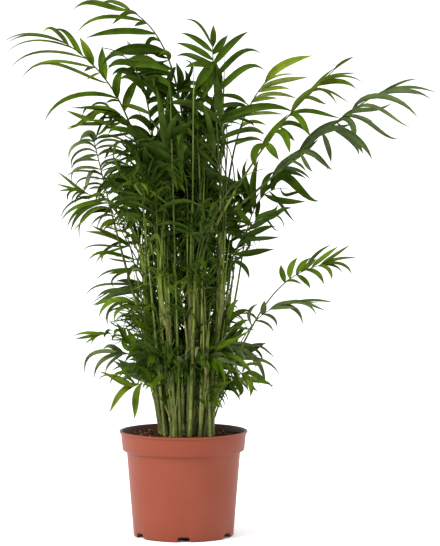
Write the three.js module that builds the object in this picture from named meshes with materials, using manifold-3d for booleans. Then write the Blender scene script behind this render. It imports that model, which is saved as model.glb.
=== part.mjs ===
// A parlour palm in a 24 cm nursery pot: a clump of canes, each with pinnate fronds.
// Millimetres, +Z up. The origin is the centre of the pot's underside, on the ground.
import * as THREE from "three";
import { mergeVertices } from "three/addons/utils/BufferGeometryUtils.js";
import Module from "manifold-3d";

// ---- Driving dimensions -------------------------------------------------------------------

const SEED = 20;
const CLEARANCE = 0.3; // between solids that meet

const POT = {
  height: 197,
  lipRadius: 120,
  lipHeight: 4,
  bandTopRadius: 117.2,
  bandBottomRadius: 114.2,
  bandHeight: 36,
  bandChamfer: 4.5,
  bodyTopRadius: 106.2,
  footRadius: 93.6,
  wall: 2.2,
  edgeRounding: 1, // at the lip
  floorUnderside: 10,
  floorThickness: 2.5,
  centreFootRadius: 20,
  sides: 36, // of the pot and of the soil, so that their facets run side by side
};

// The skirt under the floor stands on six pads, with a drainage notch beside each.
const SKIRT = {
  notches: 6,
  notchWidth: 26,
  notchTopWidth: 20,
  notchHeight: 9.4,
  padWidth: 21,
  padHeight: 1.5,
  cutFrom: 0.72, // shares of the foot's radius between which the skirt is cut
  cutTo: 1.1,
  holeRadius: 5,
  holeCircle: 80,
  holeSides: 8,
};

const SOIL = {
  surface: 189,
  rimSurface: 187,
  flatRadius: 68,
};

// Canes stand in a sunflower spiral and lean away from the middle of the clump.
const CLUMP = {
  canes: 14,
  centreX: 5,
  radius: 46, // at the base, from where heights are counted too
  base: 180,
  firstBearing: 34,
  goldenAngle: 137.508,
  lean: 0.0036, // share of its distance from the middle that a cane moves out for each mm up
  innerHeight: 480, // of a cane in the middle
  outerHeight: 250,
  heightSpread: 60,
};

const CANE = {
  baseRadius: 6,
  flareHeight: 28,
  radius: 4.6,
  topRadius: 3.2, // from taperHeight up
  taperHeight: 420,
  spearLength: 110, // the folded young leaf above the top node
  spearRadius: 0.8,
  sides: 8,
  steps: 4,
};

const RACHIS = {
  baseRadius: 3.2, // of a frond of fullReach or more, and in proportion down to leastScale
  tipRadius: 1.4,
  fullReach: 420,
  leastScale: 0.6,
  steps: 16,
  footSteps: 2, // of them, beside its own cane
  petioleSteps: 4,
  leaveAngle: 10, // between the cane and the foot of the petiole
  footPull: 0.42, // share of the chord that the first control point lies along the cane
  tipPull: 0.34,
  testMargin: 0.8, // for the chords between the points of its spine
  swayStep: 9, // how far the bow moves aside, in turn, until the rachis is clear
  swayTries: 15,
  footTurns: [0, 28, -28, 56, -56], // round the cane, tried at each bow
  endRaises: [0, 15, -15, 30, -30], // of its end, tried where no bow is clear
};

const LEAFLET = {
  spacing: 21,
  length: 150,
  width: 16,
  rootWidth: 5,
  thicknessShare: 0.013, // of the length
  leastWidthScale: 0.7,
  rootLengthScale: 0.7, // between the length at either end of the frond and the full length
  fullLengthScale: 1.06,
  fullnessSpan: [0.3, 0.82], // of a half sine wave, over the leafy part of the frond
  elbow: 0.45, // share of the length where it is widest and starts to droop
  firstSweep: 30, // forward of square to the rachis, at the first pair
  lastSweep: 60,
  tipLiftShare: 0.3, // of a frond's lift, left at its last pair
  firstDroop: 40,
  lastDroop: 22,
  minPairs: 6,
  maxPairs: 11,
};

// Other postures that a leaflet tries where it would touch a neighbour: turned, drooping.
const POSTURES = [
  { turn: 0, droop: 0 },
  { turn: 9, droop: 12 },
  { turn: -9, droop: -12 },
  { turn: 16, droop: -22 },
  { turn: -16, droop: 26 },
];

// The fronds that draw the crown's outline. cane: which cane; node: height where it leaves;
// end: where the rachis ends; pitch: its slope there; roll: its turn about its own line;
// lift: how far its two rows of leaflets rise from flat, or hang below it;
// bare: share of its length that is petiole; leaflet: length of its middle leaflets.
// leave: the angle between the cane and its foot, where it isn't the usual one.
const OUTLINE_FRONDS = [
  { cane: 1, node: 628, end: [-130, -20, 992], pitch: 15, roll: 20, lift: -40, bare: 0.42, leaflet: 130 },
  { cane: 2, node: 500, end: [-224, 20, 922], pitch: 30, roll: 45, lift: 0, bare: 0.5, leaflet: 135 },
  { cane: 5, node: 520, end: [-165, -45, 798], pitch: -8, roll: 15, lift: -25, bare: 0.45, leaflet: 120 },
  { cane: 10, node: 340, end: [-168, 15, 743], pitch: 76, roll: 110, lift: 10, bare: 0.42, leaflet: 85 },
  { cane: 7, node: 400, end: [-146, 75, 640], pitch: 74, roll: 110, lift: 10, bare: 0.42, leaflet: 85 },
  { cane: 10, node: 410, end: [-178, -35, 640], pitch: 10, roll: 20, lift: -25, bare: 0.5, leaflet: 105 },
  { cane: 7, node: 350, end: [-128, 40, 521], pitch: 0, roll: 15, lift: -30, bare: 0.45, leaflet: 95 },
  { cane: 5, node: 290, end: [-116, -60, 440], pitch: -5, roll: 15, lift: -30, bare: 0.45, leaflet: 95 },
  { cane: 10, node: 245, end: [-146, -20, 380], pitch: -5, roll: 10, lift: -35, bare: 0.5, leaflet: 85 },
  { cane: 7, node: 225, end: [-120, 45, 334], pitch: -20, roll: 10, lift: -30, bare: 0.45, leaflet: 90 },
  { cane: 13, node: 212, end: [-92, -75, 288], pitch: -25, roll: 15, lift: -30, bare: 0.45, leaflet: 95 },
  { cane: 6, node: 490, end: [54, -60, 910], pitch: 84, roll: 0, lift: 12, bare: 0.4, leaflet: 90 },
  { cane: 9, node: 470, end: [170, 95, 864], pitch: 44, roll: 15, lift: -20, bare: 0.45, leaflet: 105 },
  { cane: 3, node: 540, end: [277, -60, 868], pitch: 42, roll: 10, lift: -45,
    bare: 0.45, leaflet: 120, leave: 25 },
  { cane: 1, node: 560, end: [384, 25, 836], pitch: 27, roll: 10, lift: -50,
    bare: 0.4, leaflet: 130, leave: 55 },
  { cane: 6, node: 400, end: [160, -70, 600], pitch: 10, roll: -10, lift: -25, bare: 0.45, leaflet: 110 },
  { cane: 11, node: 250, end: [256, -50, 509], pitch: 12, roll: -60, lift: 12,
    bare: 0.6, leaflet: 100, leave: 24 },
  { cane: 14, node: 240, end: [204, 30, 432], pitch: 3, roll: -15, lift: -35, bare: 0.5, leaflet: 90 },
  { cane: 6, node: 262, end: [108, -45, 424], pitch: 24, roll: 10, lift: -30, bare: 0.6, leaflet: 70 },
  { cane: 11, node: 208, end: [124, -55, 308], pitch: -12, roll: 15, lift: -35, bare: 0.5, leaflet: 80 },
  { cane: 14, node: 218, end: [116, 42, 286], pitch: -25, roll: 10, lift: -35, bare: 0.5, leaflet: 75 },
  { cane: 2, node: 570, end: [-146, -70, 908], pitch: 5, roll: 25, lift: -10, bare: 0.45, leaflet: 125 },
  { cane: 13, node: 300, end: [-108, -25, 482], pitch: -5, roll: 15, lift: -25, bare: 0.45, leaflet: 90 },
  { cane: 5, node: 400, end: [-112, -85, 590], pitch: -15, roll: 15, lift: -25, bare: 0.45, leaflet: 110 },
  { cane: 14, node: 380, end: [196, 70, 648], pitch: -5, roll: -10, lift: -30, bare: 0.45, leaflet: 110 },
  { cane: 9, node: 250, end: [130, 60, 346], pitch: -10, roll: -10, lift: -30, bare: 0.5, leaflet: 85 },
  { cane: 8, node: 420, end: [146, -130, 688], pitch: 10, roll: -10, lift: -15, bare: 0.45, leaflet: 115 },
  { cane: 12, node: 420, end: [-112, 140, 668], pitch: 5, roll: 15, lift: -15, bare: 0.45, leaflet: 110 },
  { cane: 13, node: 400, end: [-86, -150, 690], pitch: -5, roll: 15, lift: -15, bare: 0.45, leaflet: 115 },
];

// The fronds that fill the crown between them, towards the front and the back.
const FILL_FRONDS = {
  count: 15,
  lowNode: 228, // of the lowest; the highest is at its cane's top
  levelStep: 0.618, // between one and the next, as a share of the way up
  sector: 62, // how far a bearing strays from straight to the front or the back
  nearReach: 95,
  farReach: 225,
  nearRise: 345,
  farRise: 215,
  nearPitch: 74,
  farPitch: 0,
  lowScale: 0.62, // of a frond at the soil against one at the top
  rollSpread: 40,
  lift: -12,
  bare: 0.42,
  leaflet: 140,
  lowLeaflet: 95,
  topHeight: 850, // no rachis ends higher
  leftmost: -85, // or further to the sides
  rightmost: 55,
};

const COLOURS = {
  pot: "#b8614a",
  soil: "#33241c",
  cane: "#7f8f4a",
  frond: "#33591f",
};

// ---- Library ------------------------------------------------------------------------------

const wasm = await Module();
wasm.setup();

const UP = new THREE.Vector3(0, 0, 1);
const radians = THREE.MathUtils.degToRad;
const lerp = THREE.MathUtils.lerp;
const clamp = THREE.MathUtils.clamp;

function vector(x, y, z) {
  return new THREE.Vector3(x, y, z);
}

/** A repeatable source of numbers from 0 to 1. */
function seededRandom(seed) {
  let state = seed;
  return () => {
    state = (state + 0x6d2b79f5) | 0;
    let t = Math.imul(state ^ (state >>> 15), 1 | state);
    t = (t + Math.imul(t ^ (t >>> 7), 61 | t)) ^ t;
    return ((t ^ (t >>> 14)) >>> 0) / 4294967296;
  };
}

/** A closed geometry as a solid that can be joined and cut. */
function solidFrom(geometry) {
  const bare = geometry.clone();
  bare.deleteAttribute("normal");
  bare.deleteAttribute("uv");
  const merged = mergeVertices(bare, 1e-3);
  return new wasm.Manifold(
    new wasm.Mesh({
      numProp: 3,
      vertProperties: merged.attributes.position.array,
      triVerts: new Uint32Array(merged.index.array),
    }),
  );
}

/** A closed geometry from corner points and triangles, turned to face outwards. */
function solidFromFaces(points, faces) {
  let volume = 0;
  for (const [a, b, c] of faces) {
    volume += points[a].dot(points[b].clone().cross(points[c]));
  }
  const turned = volume < 0 ? faces.map(([a, b, c]) => [a, c, b]) : faces;
  const geometry = new THREE.BufferGeometry().setFromPoints(points);
  geometry.setIndex(turned.flat());
  return solidFrom(geometry);
}

function geometryFrom(solid) {
  const mesh = solid.getMesh();
  const geometry = new THREE.BufferGeometry();
  geometry.setAttribute("position", new THREE.BufferAttribute(mesh.vertProperties, 3));
  geometry.setIndex(new THREE.BufferAttribute(mesh.triVerts, 1));
  geometry.computeVertexNormals();
  return geometry;
}

/** A closed tube whose rings of corners are given in order, with flat ends. */
function ringTube(rings) {
  const sides = rings[0].length;
  const faces = [];
  for (let k = 0; k + 1 < rings.length; k++) {
    for (let i = 0; i < sides; i++) {
      const next = (i + 1) % sides;
      const [a, b] = [k * sides + i, k * sides + next];
      faces.push([a, b, b + sides], [a, b + sides, a + sides]);
    }
  }
  const last = (rings.length - 1) * sides;
  for (let i = 1; i + 1 < sides; i++) {
    faces.push([0, i + 1, i], [last, last + i, last + i + 1]);
  }
  return solidFromFaces(rings.flat(), faces);
}

/** The least distance between two straight segments. */
function segmentDistance(a, b, c, d) {
  const u = b.clone().sub(a);
  const v = d.clone().sub(c);
  const w = a.clone().sub(c);
  const [uu, uv, vv, uw, vw] = [u.dot(u), u.dot(v), v.dot(v), u.dot(w), v.dot(w)];
  const spread = uu * vv - uv * uv;
  let s = spread > 1e-9 ? clamp((uv * vw - vv * uw) / spread, 0, 1) : 0;
  const t = clamp((uv * s + vw) / vv, 0, 1);
  s = clamp((uv * t - uw) / uu, 0, 1);
  return w.addScaledVector(u, s).addScaledVector(v, -t).length();
}

/** Whether two limbs, as spines with a radius at each point, keep clear from a step on. */
function limbsClear(one, other, fromStep) {
  for (let i = fromStep; i + 1 < one.spine.length; i++) {
    for (let j = 0; j + 1 < other.spine.length; j++) {
      const reach = one.radii[i] + other.radii[j] + CLEARANCE + RACHIS.testMargin;
      const gap = segmentDistance(
        one.spine[i],
        one.spine[i + 1],
        other.spine[j],
        other.spine[j + 1],
      );
      if (gap < reach) return false;
    }
  }
  return true;
}

// ---- Pot and soil -------------------------------------------------------------------------

/** Height of the foot of the pot's rim band, and of the body just under its chamfer. */
const bandFoot = POT.height - POT.bandHeight;
const bodyTop = bandFoot - POT.bandChamfer;
const floorTop = POT.floorUnderside + POT.floorThickness;

/** Radius of the pot's outer body at a height below the band. */
function bodyRadius(z) {
  return lerp(POT.footRadius, POT.bodyTopRadius, z / bodyTop);
}

function latheSolid(profile, sides) {
  const outline = profile.map(([radius, z]) => new THREE.Vector2(radius, z));
  const geometry = new THREE.LatheGeometry(outline, sides);
  geometry.rotateX(Math.PI / 2);
  return solidFrom(geometry);
}

/** The pot's inner wall from the floor up, moved in by a margin. */
function innerWall(margin) {
  const inset = POT.wall + margin;
  return [
    [bodyRadius(floorTop) - inset, floorTop + margin],
    [bodyRadius(bodyTop) - inset, bodyTop],
    [POT.bandBottomRadius - inset, bandFoot + POT.wall],
  ];
}

/** A flat plate standing in a radius of the pot, as wide as the notch or pad it cuts. */
function skirtCutter(widthBelow, widthAbove, bottom, top, bearing) {
  const shape = new THREE.Shape([
    new THREE.Vector2(-widthBelow / 2, bottom),
    new THREE.Vector2(widthBelow / 2, bottom),
    new THREE.Vector2(widthAbove / 2, top),
    new THREE.Vector2(-widthAbove / 2, top),
  ]);
  const inner = POT.footRadius * SKIRT.cutFrom;
  const depth = POT.footRadius * SKIRT.cutTo - inner;
  const geometry = new THREE.ExtrudeGeometry(shape, { depth, bevelEnabled: false });
  geometry.rotateX(Math.PI / 2);
  geometry.translate(0, -inner, 0);
  geometry.rotateZ(bearing);
  return solidFrom(geometry);
}

/** The wedge of skirt edge between a notch and the next pad, which stands off the ground. */
function edgeCutter(fromBearing, toBearing) {
  const [inner, outer] = [POT.footRadius * SKIRT.cutFrom, POT.footRadius * SKIRT.cutTo];
  const shape = new THREE.Shape();
  shape.absarc(0, 0, outer, fromBearing, toBearing, false);
  shape.absarc(0, 0, inner, toBearing, fromBearing, true);
  const geometry = new THREE.ExtrudeGeometry(shape, {
    depth: SKIRT.padHeight + 1,
    bevelEnabled: false,
    curveSegments: 3,
  });
  geometry.translate(0, 0, -1);
  return solidFrom(geometry);
}

function potSolid() {
  const skirtInner = POT.footRadius - POT.wall;
  const [wallFoot, wallTop, bandInner] = innerWall(0);
  const lipFoot = POT.height - POT.lipHeight;
  let pot = latheSolid(
    [
      [0, 0],
      [POT.centreFootRadius, 0],
      [POT.centreFootRadius, POT.floorUnderside],
      [skirtInner, POT.floorUnderside],
      [skirtInner, 0],
      [POT.footRadius, 0],
      [bodyRadius(bodyTop), bodyTop],
      [POT.bandBottomRadius, bandFoot],
      [POT.bandTopRadius, lipFoot - POT.edgeRounding],
      [POT.lipRadius, lipFoot + POT.edgeRounding],
      [POT.lipRadius, POT.height - POT.edgeRounding],
      [POT.lipRadius - POT.edgeRounding, POT.height],
      [POT.bandTopRadius - POT.edgeRounding / 2, POT.height],
      [POT.bandTopRadius - POT.wall, lipFoot],
      bandInner,
      wallTop,
      wallFoot,
      [0, floorTop],
    ],
    POT.sides,
  );
  const pitch = (2 * Math.PI) / SKIRT.notches;
  const halfNotch = SKIRT.notchWidth / 2 / POT.footRadius;
  const padAngle = SKIRT.padWidth / POT.footRadius;
  for (let i = 0; i < SKIRT.notches; i++) {
    const bearing = i * pitch;
    pot = pot.subtract(
      skirtCutter(SKIRT.notchWidth, SKIRT.notchTopWidth, -1, SKIRT.notchHeight, bearing),
    );
    // bearings of skirtCutter run from -Y, those of an arc from +X; the arc starts in the notch
    const notchRight = bearing - Math.PI / 2 + halfNotch / 2;
    const nextPad = bearing - Math.PI / 2 + pitch - halfNotch - padAngle;
    pot = pot.subtract(edgeCutter(notchRight, nextPad));
    const { holeRadius, holeSides } = SKIRT;
    const hole = new THREE.CylinderGeometry(holeRadius, holeRadius, 2 * floorTop, holeSides);
    hole.rotateX(Math.PI / 2);
    hole.translate(
      SKIRT.holeCircle * Math.sin(bearing),
      -SKIRT.holeCircle * Math.cos(bearing),
      floorTop,
    );
    pot = pot.subtract(solidFrom(hole));
  }
  return pot;
}

function soilSolid() {
  const [wallFoot, wallTop, bandInner] = innerWall(CLEARANCE);
  const bandRise = (SOIL.rimSurface - bandInner[1]) / (POT.height - POT.lipHeight - bandInner[1]);
  const edge = lerp(bandInner[0], POT.bandTopRadius - POT.wall - CLEARANCE, bandRise);
  return latheSolid(
    [
      [0, floorTop + CLEARANCE],
      wallFoot,
      wallTop,
      bandInner,
      [edge, SOIL.rimSurface],
      [SOIL.flatRadius, SOIL.surface],
      [0, SOIL.surface],
    ],
    POT.sides,
  );
}

// ---- Canes --------------------------------------------------------------------------------

/** Where a cane's foot is, and how high its top node is. */
function caneRule(index, random) {
  const radius = CLUMP.radius * Math.sqrt((index + 0.5) / CLUMP.canes);
  const bearing = radians(CLUMP.firstBearing + index * CLUMP.goldenAngle);
  const height =
    lerp(CLUMP.innerHeight, CLUMP.outerHeight, radius / CLUMP.radius) +
    CLUMP.heightSpread * (random() - 0.5);
  return {
    away: vector(radius * Math.cos(bearing), radius * Math.sin(bearing), 0),
    foot: SOIL.surface + CLEARANCE,
    top: CLUMP.base + height,
  };
}

/** The middle of a cane at a height. */
function caneCentre(cane, z) {
  const share = 1 + CLUMP.lean * (z - CLUMP.base);
  return vector(CLUMP.centreX, 0, z).addScaledVector(cane.away, share);
}

function caneDirection(cane) {
  return UP.clone().addScaledVector(cane.away, CLUMP.lean).normalize();
}

function caneRadius(cane, z) {
  const flare = clamp(1 - (z - cane.foot) / CANE.flareHeight, 0, 1);
  const taper = clamp((z - cane.foot) / CANE.taperHeight, 0, 1);
  const shaft = lerp(CANE.radius, CANE.topRadius, taper);
  return shaft + (CANE.baseRadius - CANE.radius) * flare * flare;
}

/** A cane as a limb: its spine's points and the radius at each. */
function caneLimb(cane) {
  const flareTop = cane.foot + CANE.flareHeight;
  const heights = [cane.foot, cane.foot + CANE.flareHeight / 2];
  for (let k = 0; k <= CANE.steps; k++) {
    heights.push(lerp(flareTop, cane.top, k / CANE.steps));
  }
  const spine = heights.map((z) => caneCentre(cane, z));
  const radii = heights.map((z) => caneRadius(cane, z));
  spine.push(caneCentre(cane, cane.top + CANE.spearLength));
  radii.push(CANE.spearRadius);
  return { spine, radii };
}

function caneSolid(limb) {
  const rings = limb.spine.map((middle, k) => {
    const ring = [];
    for (let i = 0; i < CANE.sides; i++) {
      const turn = (2 * Math.PI * i) / CANE.sides;
      const out = vector(Math.cos(turn), Math.sin(turn), 0);
      ring.push(middle.clone().addScaledVector(out, limb.radii[k]));
    }
    return ring;
  });
  return ringTube(rings);
}

// ---- Fronds -------------------------------------------------------------------------------

/** The rows of the fronds that fill the crown, each on the cane that has fewest. */
function fillRows(canes, random) {
  const taken = canes.map((_, i) => OUTLINE_FRONDS.filter((row) => row.cane === i + 1).length);
  const rows = [];
  for (let j = 0; j < FILL_FRONDS.count; j++) {
    const fewest = Math.min(...taken);
    const tallest = canes.map((cane, i) => (taken[i] === fewest ? cane.top : -1));
    const chosen = tallest.indexOf(Math.max(...tallest));
    const level = (j * FILL_FRONDS.levelStep) % 1;
    const node = lerp(FILL_FRONDS.lowNode, canes[chosen].top, level);
    taken[chosen] += 1;
    const side = j % 2 === 0 ? -90 : 90;
    const stray = (((j * CLUMP.goldenAngle) / 180) % 2) - 1;
    const bearing = radians(side + FILL_FRONDS.sector * stray);
    const far = random();
    const reach = lerp(FILL_FRONDS.nearReach, FILL_FRONDS.farReach, far);
    const rise = lerp(FILL_FRONDS.nearRise, FILL_FRONDS.farRise, far);
    const height = clamp((node - CLUMP.base) / CLUMP.innerHeight, 0, 1);
    const scale = lerp(FILL_FRONDS.lowScale, 1, height);
    const start = caneCentre(canes[chosen], node);
    rows.push({
      cane: chosen + 1,
      node,
      end: [
        clamp(
          start.x + scale * reach * Math.cos(bearing),
          FILL_FRONDS.leftmost,
          FILL_FRONDS.rightmost,
        ),
        start.y + scale * reach * Math.sin(bearing),
        Math.min(node + scale * rise, FILL_FRONDS.topHeight),
      ],
      pitch: lerp(FILL_FRONDS.nearPitch, FILL_FRONDS.farPitch, far),
      roll: FILL_FRONDS.rollSpread * (random() - 0.5),
      lift: FILL_FRONDS.lift,
      bare: FILL_FRONDS.bare,
      leaflet: lerp(FILL_FRONDS.lowLeaflet, FILL_FRONDS.leaflet, height),
    });
  }
  return rows;
}

/** A frond's rachis: a curve from the cane's side, bowed aside by sway. */
function rachisLimb(row, cane, sway, footTurn) {
  const end = vector(...row.end);
  const centre = caneCentre(cane, row.node);
  const outward = end.clone().sub(centre).setZ(0).normalize();
  const aside = UP.clone().cross(outward);
  const scale = clamp(end.distanceTo(centre) / RACHIS.fullReach, RACHIS.leastScale, 1);
  const footRadius = RACHIS.baseRadius * scale;
  const tipRadius = RACHIS.tipRadius * scale;
  const nearCorner = Math.cos(radians(60 - Math.abs(footTurn))); // of the three-sided petiole
  const standOff = caneRadius(cane, row.node) + footRadius * nearCorner + CLEARANCE;
  const footOut = outward.clone().applyAxisAngle(UP, radians(footTurn));
  const start = centre.addScaledVector(footOut, standOff);
  const chord = start.distanceTo(end);
  const leave = radians(row.leave ?? RACHIS.leaveAngle);
  const footward = caneDirection(cane)
    .multiplyScalar(Math.cos(leave))
    .addScaledVector(footOut, Math.sin(leave));
  const pitch = radians(row.pitch);
  const tipward = outward
    .clone()
    .multiplyScalar(Math.cos(pitch))
    .addScaledVector(UP, Math.sin(pitch));
  const curve = new THREE.CubicBezierCurve3(
    start,
    start
      .clone()
      .addScaledVector(footward, RACHIS.footPull * chord)
      .addScaledVector(aside, sway),
    end
      .clone()
      .addScaledVector(tipward, -RACHIS.tipPull * chord)
      .addScaledVector(aside, sway),
    end,
  );
  const spine = curve.getPoints(RACHIS.steps);
  const radii = spine.map((_, k) => lerp(footRadius, tipRadius, k / RACHIS.steps));
  return { curve, spine, radii, row, aside };
}

/** Every way a frond's rachis may run, the one nearest its row first. */
function* rachisWays(row, cane) {
  for (const raise of RACHIS.endRaises) {
    const raised = { ...row, end: [row.end[0], row.end[1], row.end[2] + raise] };
    for (let k = 0; k < RACHIS.swayTries; k++) {
      const sway = RACHIS.swayStep * Math.ceil(k / 2) * (k % 2 === 0 ? 1 : -1);
      for (const footTurn of RACHIS.footTurns) {
        yield rachisLimb(raised, cane, sway, footTurn);
      }
    }
  }
}

/** The first way for a frond's rachis that is clear of the canes and of the fronds before it. */
function clearRachis(row, cane, limbs) {
  const ownCane = limbs[row.cane - 1];
  for (const limb of rachisWays(row, cane)) {
    const clearOf = (other) => limbsClear(limb, other, other === ownCane ? RACHIS.footSteps : 0);
    if (limbs.every(clearOf)) return limb;
  }
  throw new Error("no clear way for the frond at " + row.end);
}

/** The directions of a rachis at a share of its length: along, aside and upper face. */
function rachisFrame(limb, share) {
  const along = limb.curve.getTangent(share);
  const level = limb.aside.clone().addScaledVector(along, -limb.aside.dot(along)).normalize();
  const turn = radians(limb.row.roll) * share;
  const aside = level.applyAxisAngle(along, turn);
  const upper = along.clone().cross(aside).normalize();
  return { along, aside, upper };
}

function rachisRadius(limb, share) {
  return lerp(limb.radii[0], limb.radii.at(-1), share);
}

/** How much of a rachis, as a share of its length, lies on either side of a leaflet's root. */
function halfRoot(limb) {
  return (0.5 * LEAFLET.rootWidth) / limb.curve.getLength();
}

/** Where a frond's pairs of leaflets sit: share of the rachis and length of each. */
function leafletPairs(limb) {
  const { bare, leaflet } = limb.row;
  const leafy = limb.curve.getLength() * (1 - bare);
  const count = clamp(Math.round(leafy / LEAFLET.spacing), LEAFLET.minPairs, LEAFLET.maxPairs);
  return Array.from({ length: count }, (_, pair) => {
    const progress = pair / (count - 1);
    const fullness = Math.sin(Math.PI * lerp(...LEAFLET.fullnessSpan, progress));
    return {
      progress,
      share: lerp(bare, 1 - halfRoot(limb), progress),
      length: leaflet * lerp(LEAFLET.rootLengthScale, LEAFLET.fullLengthScale, fullness),
    };
  });
}

/** A leaflet's widest section, as rear edge, front edge and keel, then its tip. */
function leafletBlade(limb, pair, side, posture, margin) {
  const { along, aside, upper } = rachisFrame(limb, pair.share);
  const root = limb.curve.getPoint(pair.share);
  const sweep = radians(lerp(LEAFLET.firstSweep, LEAFLET.lastSweep, pair.progress) + posture.turn);
  const out = aside
    .clone()
    .multiplyScalar(side * Math.cos(sweep))
    .addScaledVector(along, Math.sin(sweep));
  const lift = radians(limb.row.lift * lerp(1, LEAFLET.tipLiftShare, pair.progress));
  const rising = out.clone().addScaledVector(upper, Math.tan(lift)).normalize();
  const droop = lerp(LEAFLET.firstDroop, LEAFLET.lastDroop, pair.progress) + posture.droop;
  const falling = out.clone().addScaledVector(UP, -Math.tan(radians(droop))).normalize();
  const across = rising.clone().cross(upper).multiplyScalar(side).normalize();
  const under = across.clone().cross(rising).multiplyScalar(-side).normalize();
  const widthScale = clamp(pair.length / LEAFLET.length, LEAFLET.leastWidthScale, 1);
  const halfWidth = (LEAFLET.width / 2) * widthScale;
  const elbow = root.addScaledVector(rising, LEAFLET.elbow * pair.length);
  const thickness = LEAFLET.thicknessShare * pair.length;
  return [
    elbow.clone().addScaledVector(across, -halfWidth - margin).addScaledVector(under, -margin),
    elbow.clone().addScaledVector(across, halfWidth + margin).addScaledVector(under, -margin),
    elbow.clone().addScaledVector(under, thickness + margin),
    elbow.clone().addScaledVector(falling, (1 - LEAFLET.elbow) * pair.length + margin),
  ];
}

/** The three corners of a rachis at a share of its length: left and right edge, and keel. */
function rachisRing(limb, share, margin) {
  const { aside, upper } = rachisFrame(limb, share);
  const middle = limb.curve.getPoint(share);
  const radius = rachisRadius(limb, share) + margin;
  return [-1, 1, 0].map((side) =>
    middle
      .clone()
      .addScaledVector(aside, side * radius * Math.cos(Math.PI / 6))
      .addScaledVector(upper, radius * (side === 0 ? -1 : 0.5)),
  );
}

/** Two triangles that close a patch of one side of the rachis. */
function patchFaces([edge, keel, nextKeel, nextEdge], side) {
  const faces = [
    [edge, keel, nextKeel],
    [edge, nextKeel, nextEdge],
  ];
  return side > 0 ? faces : faces.map(([a, b, c]) => [a, c, b]);
}

/** The two triangles of a face with four corners, folded so that it bulges away from inside. */
function foldedOut(points, [a, b, c, d], inside) {
  const plane = new THREE.Plane().setFromCoplanarPoints(points[a], points[b], points[c]);
  const bulges = plane.distanceToPoint(points[d]) * plane.distanceToPoint(inside) > 0;
  const firstFold = [
    [a, b, c],
    [a, c, d],
  ];
  const otherFold = [
    [a, b, d],
    [b, c, d],
  ];
  return bulges ? firstFold : otherFold;
}

/** The faces that carry a patch of the rachis out round a leaflet's blade, the last points. */
function leafletFaces(points, [edge, keel, nextKeel, nextEdge], side) {
  const [rear, front, under, tip] = [4, 3, 2, 1].map((fromEnd) => points.length - fromEnd);
  const corners = [edge, keel, nextKeel, nextEdge, rear, front, under];
  const inside = vector(0, 0, 0);
  corners.forEach((corner) => inside.addScaledVector(points[corner], 1 / corners.length));
  const faces = [
    [keel, nextKeel, under],
    ...foldedOut(points, [edge, keel, under, rear], inside),
    ...foldedOut(points, [nextKeel, nextEdge, front, under], inside),
    ...foldedOut(points, [nextEdge, edge, rear, front], inside),
    [rear, under, tip],
    [under, front, tip],
    [front, rear, tip],
  ];
  return side > 0 ? faces : faces.map(([a, b, c]) => [a, c, b]);
}

/** A leaflet by itself, from its patch of the rachis to its tip, to test its room. */
function looseLeaflet(limb, pair, side, blade, margin) {
  const [near, far] = [-1, 1].map((end) =>
    rachisRing(limb, pair.share + end * halfRoot(limb), margin),
  );
  const edge = side < 0 ? 0 : 1;
  const points = [near[edge], near[2], far[2], far[edge], ...blade];
  const patch = [0, 1, 2, 3];
  return solidFromFaces(points, [
    ...leafletFaces(points, patch, side),
    ...patchFaces(patch, -side),
  ]);
}

/** A solid with its box, kept to test whether a leaflet would touch it. */
function obstacle(solid, owner) {
  const { min, max } = solid.boundingBox();
  return { solid, owner, box: new THREE.Box3(vector(...min), vector(...max)) };
}

/** Whether a solid touches an obstacle, other than those of its own owners. */
function touches(solid, owners, obstacles) {
  const { box } = obstacle(solid, owners);
  return obstacles.some(
    (other) =>
      !owners.includes(other.owner) &&
      other.box.intersectsBox(box) &&
      !other.solid.intersect(solid).isEmpty(),
  );
}

/** The blade of every leaflet that has room, pair by pair over all fronds to keep gaps even. */
function growLeaflets(limbs, obstacles) {
  const fronds = limbs.map((limb) => ({ limb, pairs: leafletPairs(limb) }));
  for (let turn = 0; turn < LEAFLET.maxPairs; turn++) {
    for (const { limb, pairs } of fronds) {
      const pair = pairs[turn];
      if (!pair) continue;
      for (const side of [-1, 1]) {
        const roomy = POSTURES.find((posture) => {
          const blade = leafletBlade(limb, pair, side, posture, CLEARANCE);
          const room = looseLeaflet(limb, pair, side, blade, CLEARANCE);
          return !touches(room, [limb, pair], obstacles);
        });
        if (!roomy) continue;
        pair[side] = leafletBlade(limb, pair, side, roomy, 0);
        const leaflet = looseLeaflet(limb, pair, side, pair[side], 0);
        obstacles.push(obstacle(leaflet, pair));
      }
    }
  }
  return fronds;
}

/** A frond: a three-sided rachis whose sides run out into the leaflets. */
function frondSolid({ limb, pairs }) {
  const half = halfRoot(limb);
  const stations = [];
  for (let k = 0; k < RACHIS.petioleSteps; k++) {
    stations.push({ share: (k * pairs[0].share) / RACHIS.petioleSteps });
  }
  for (const pair of pairs) {
    stations.push({ share: pair.share - half, pair }, { share: pair.share + half });
  }
  const points = stations.flatMap(({ share }) => rachisRing(limb, share, 0));
  const faces = [[0, 2, 1]];
  stations.slice(0, -1).forEach(({ pair }, k) => {
    const [left, right, keel] = [3 * k, 3 * k + 1, 3 * k + 2];
    faces.push([left, right, right + 3], [left, right + 3, left + 3]);
    for (const side of [-1, 1]) {
      const edge = side < 0 ? left : right;
      const patch = [edge, keel, keel + 3, edge + 3];
      if (pair?.[side]) {
        points.push(...pair[side]);
        faces.push(...leafletFaces(points, patch, side));
      } else {
        faces.push(...patchFaces(patch, side));
      }
    }
  });
  const last = 3 * (stations.length - 1);
  faces.push([last, last + 1, last + 2]);
  return solidFromFaces(points, faces);
}

// ---- The plant ----------------------------------------------------------------------------

function twoDigits(number) {
  return String(number).padStart(2, "0");
}

function material(colour, roughness) {
  return new THREE.MeshStandardMaterial({ color: colour, roughness, metalness: 0 });
}

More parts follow.
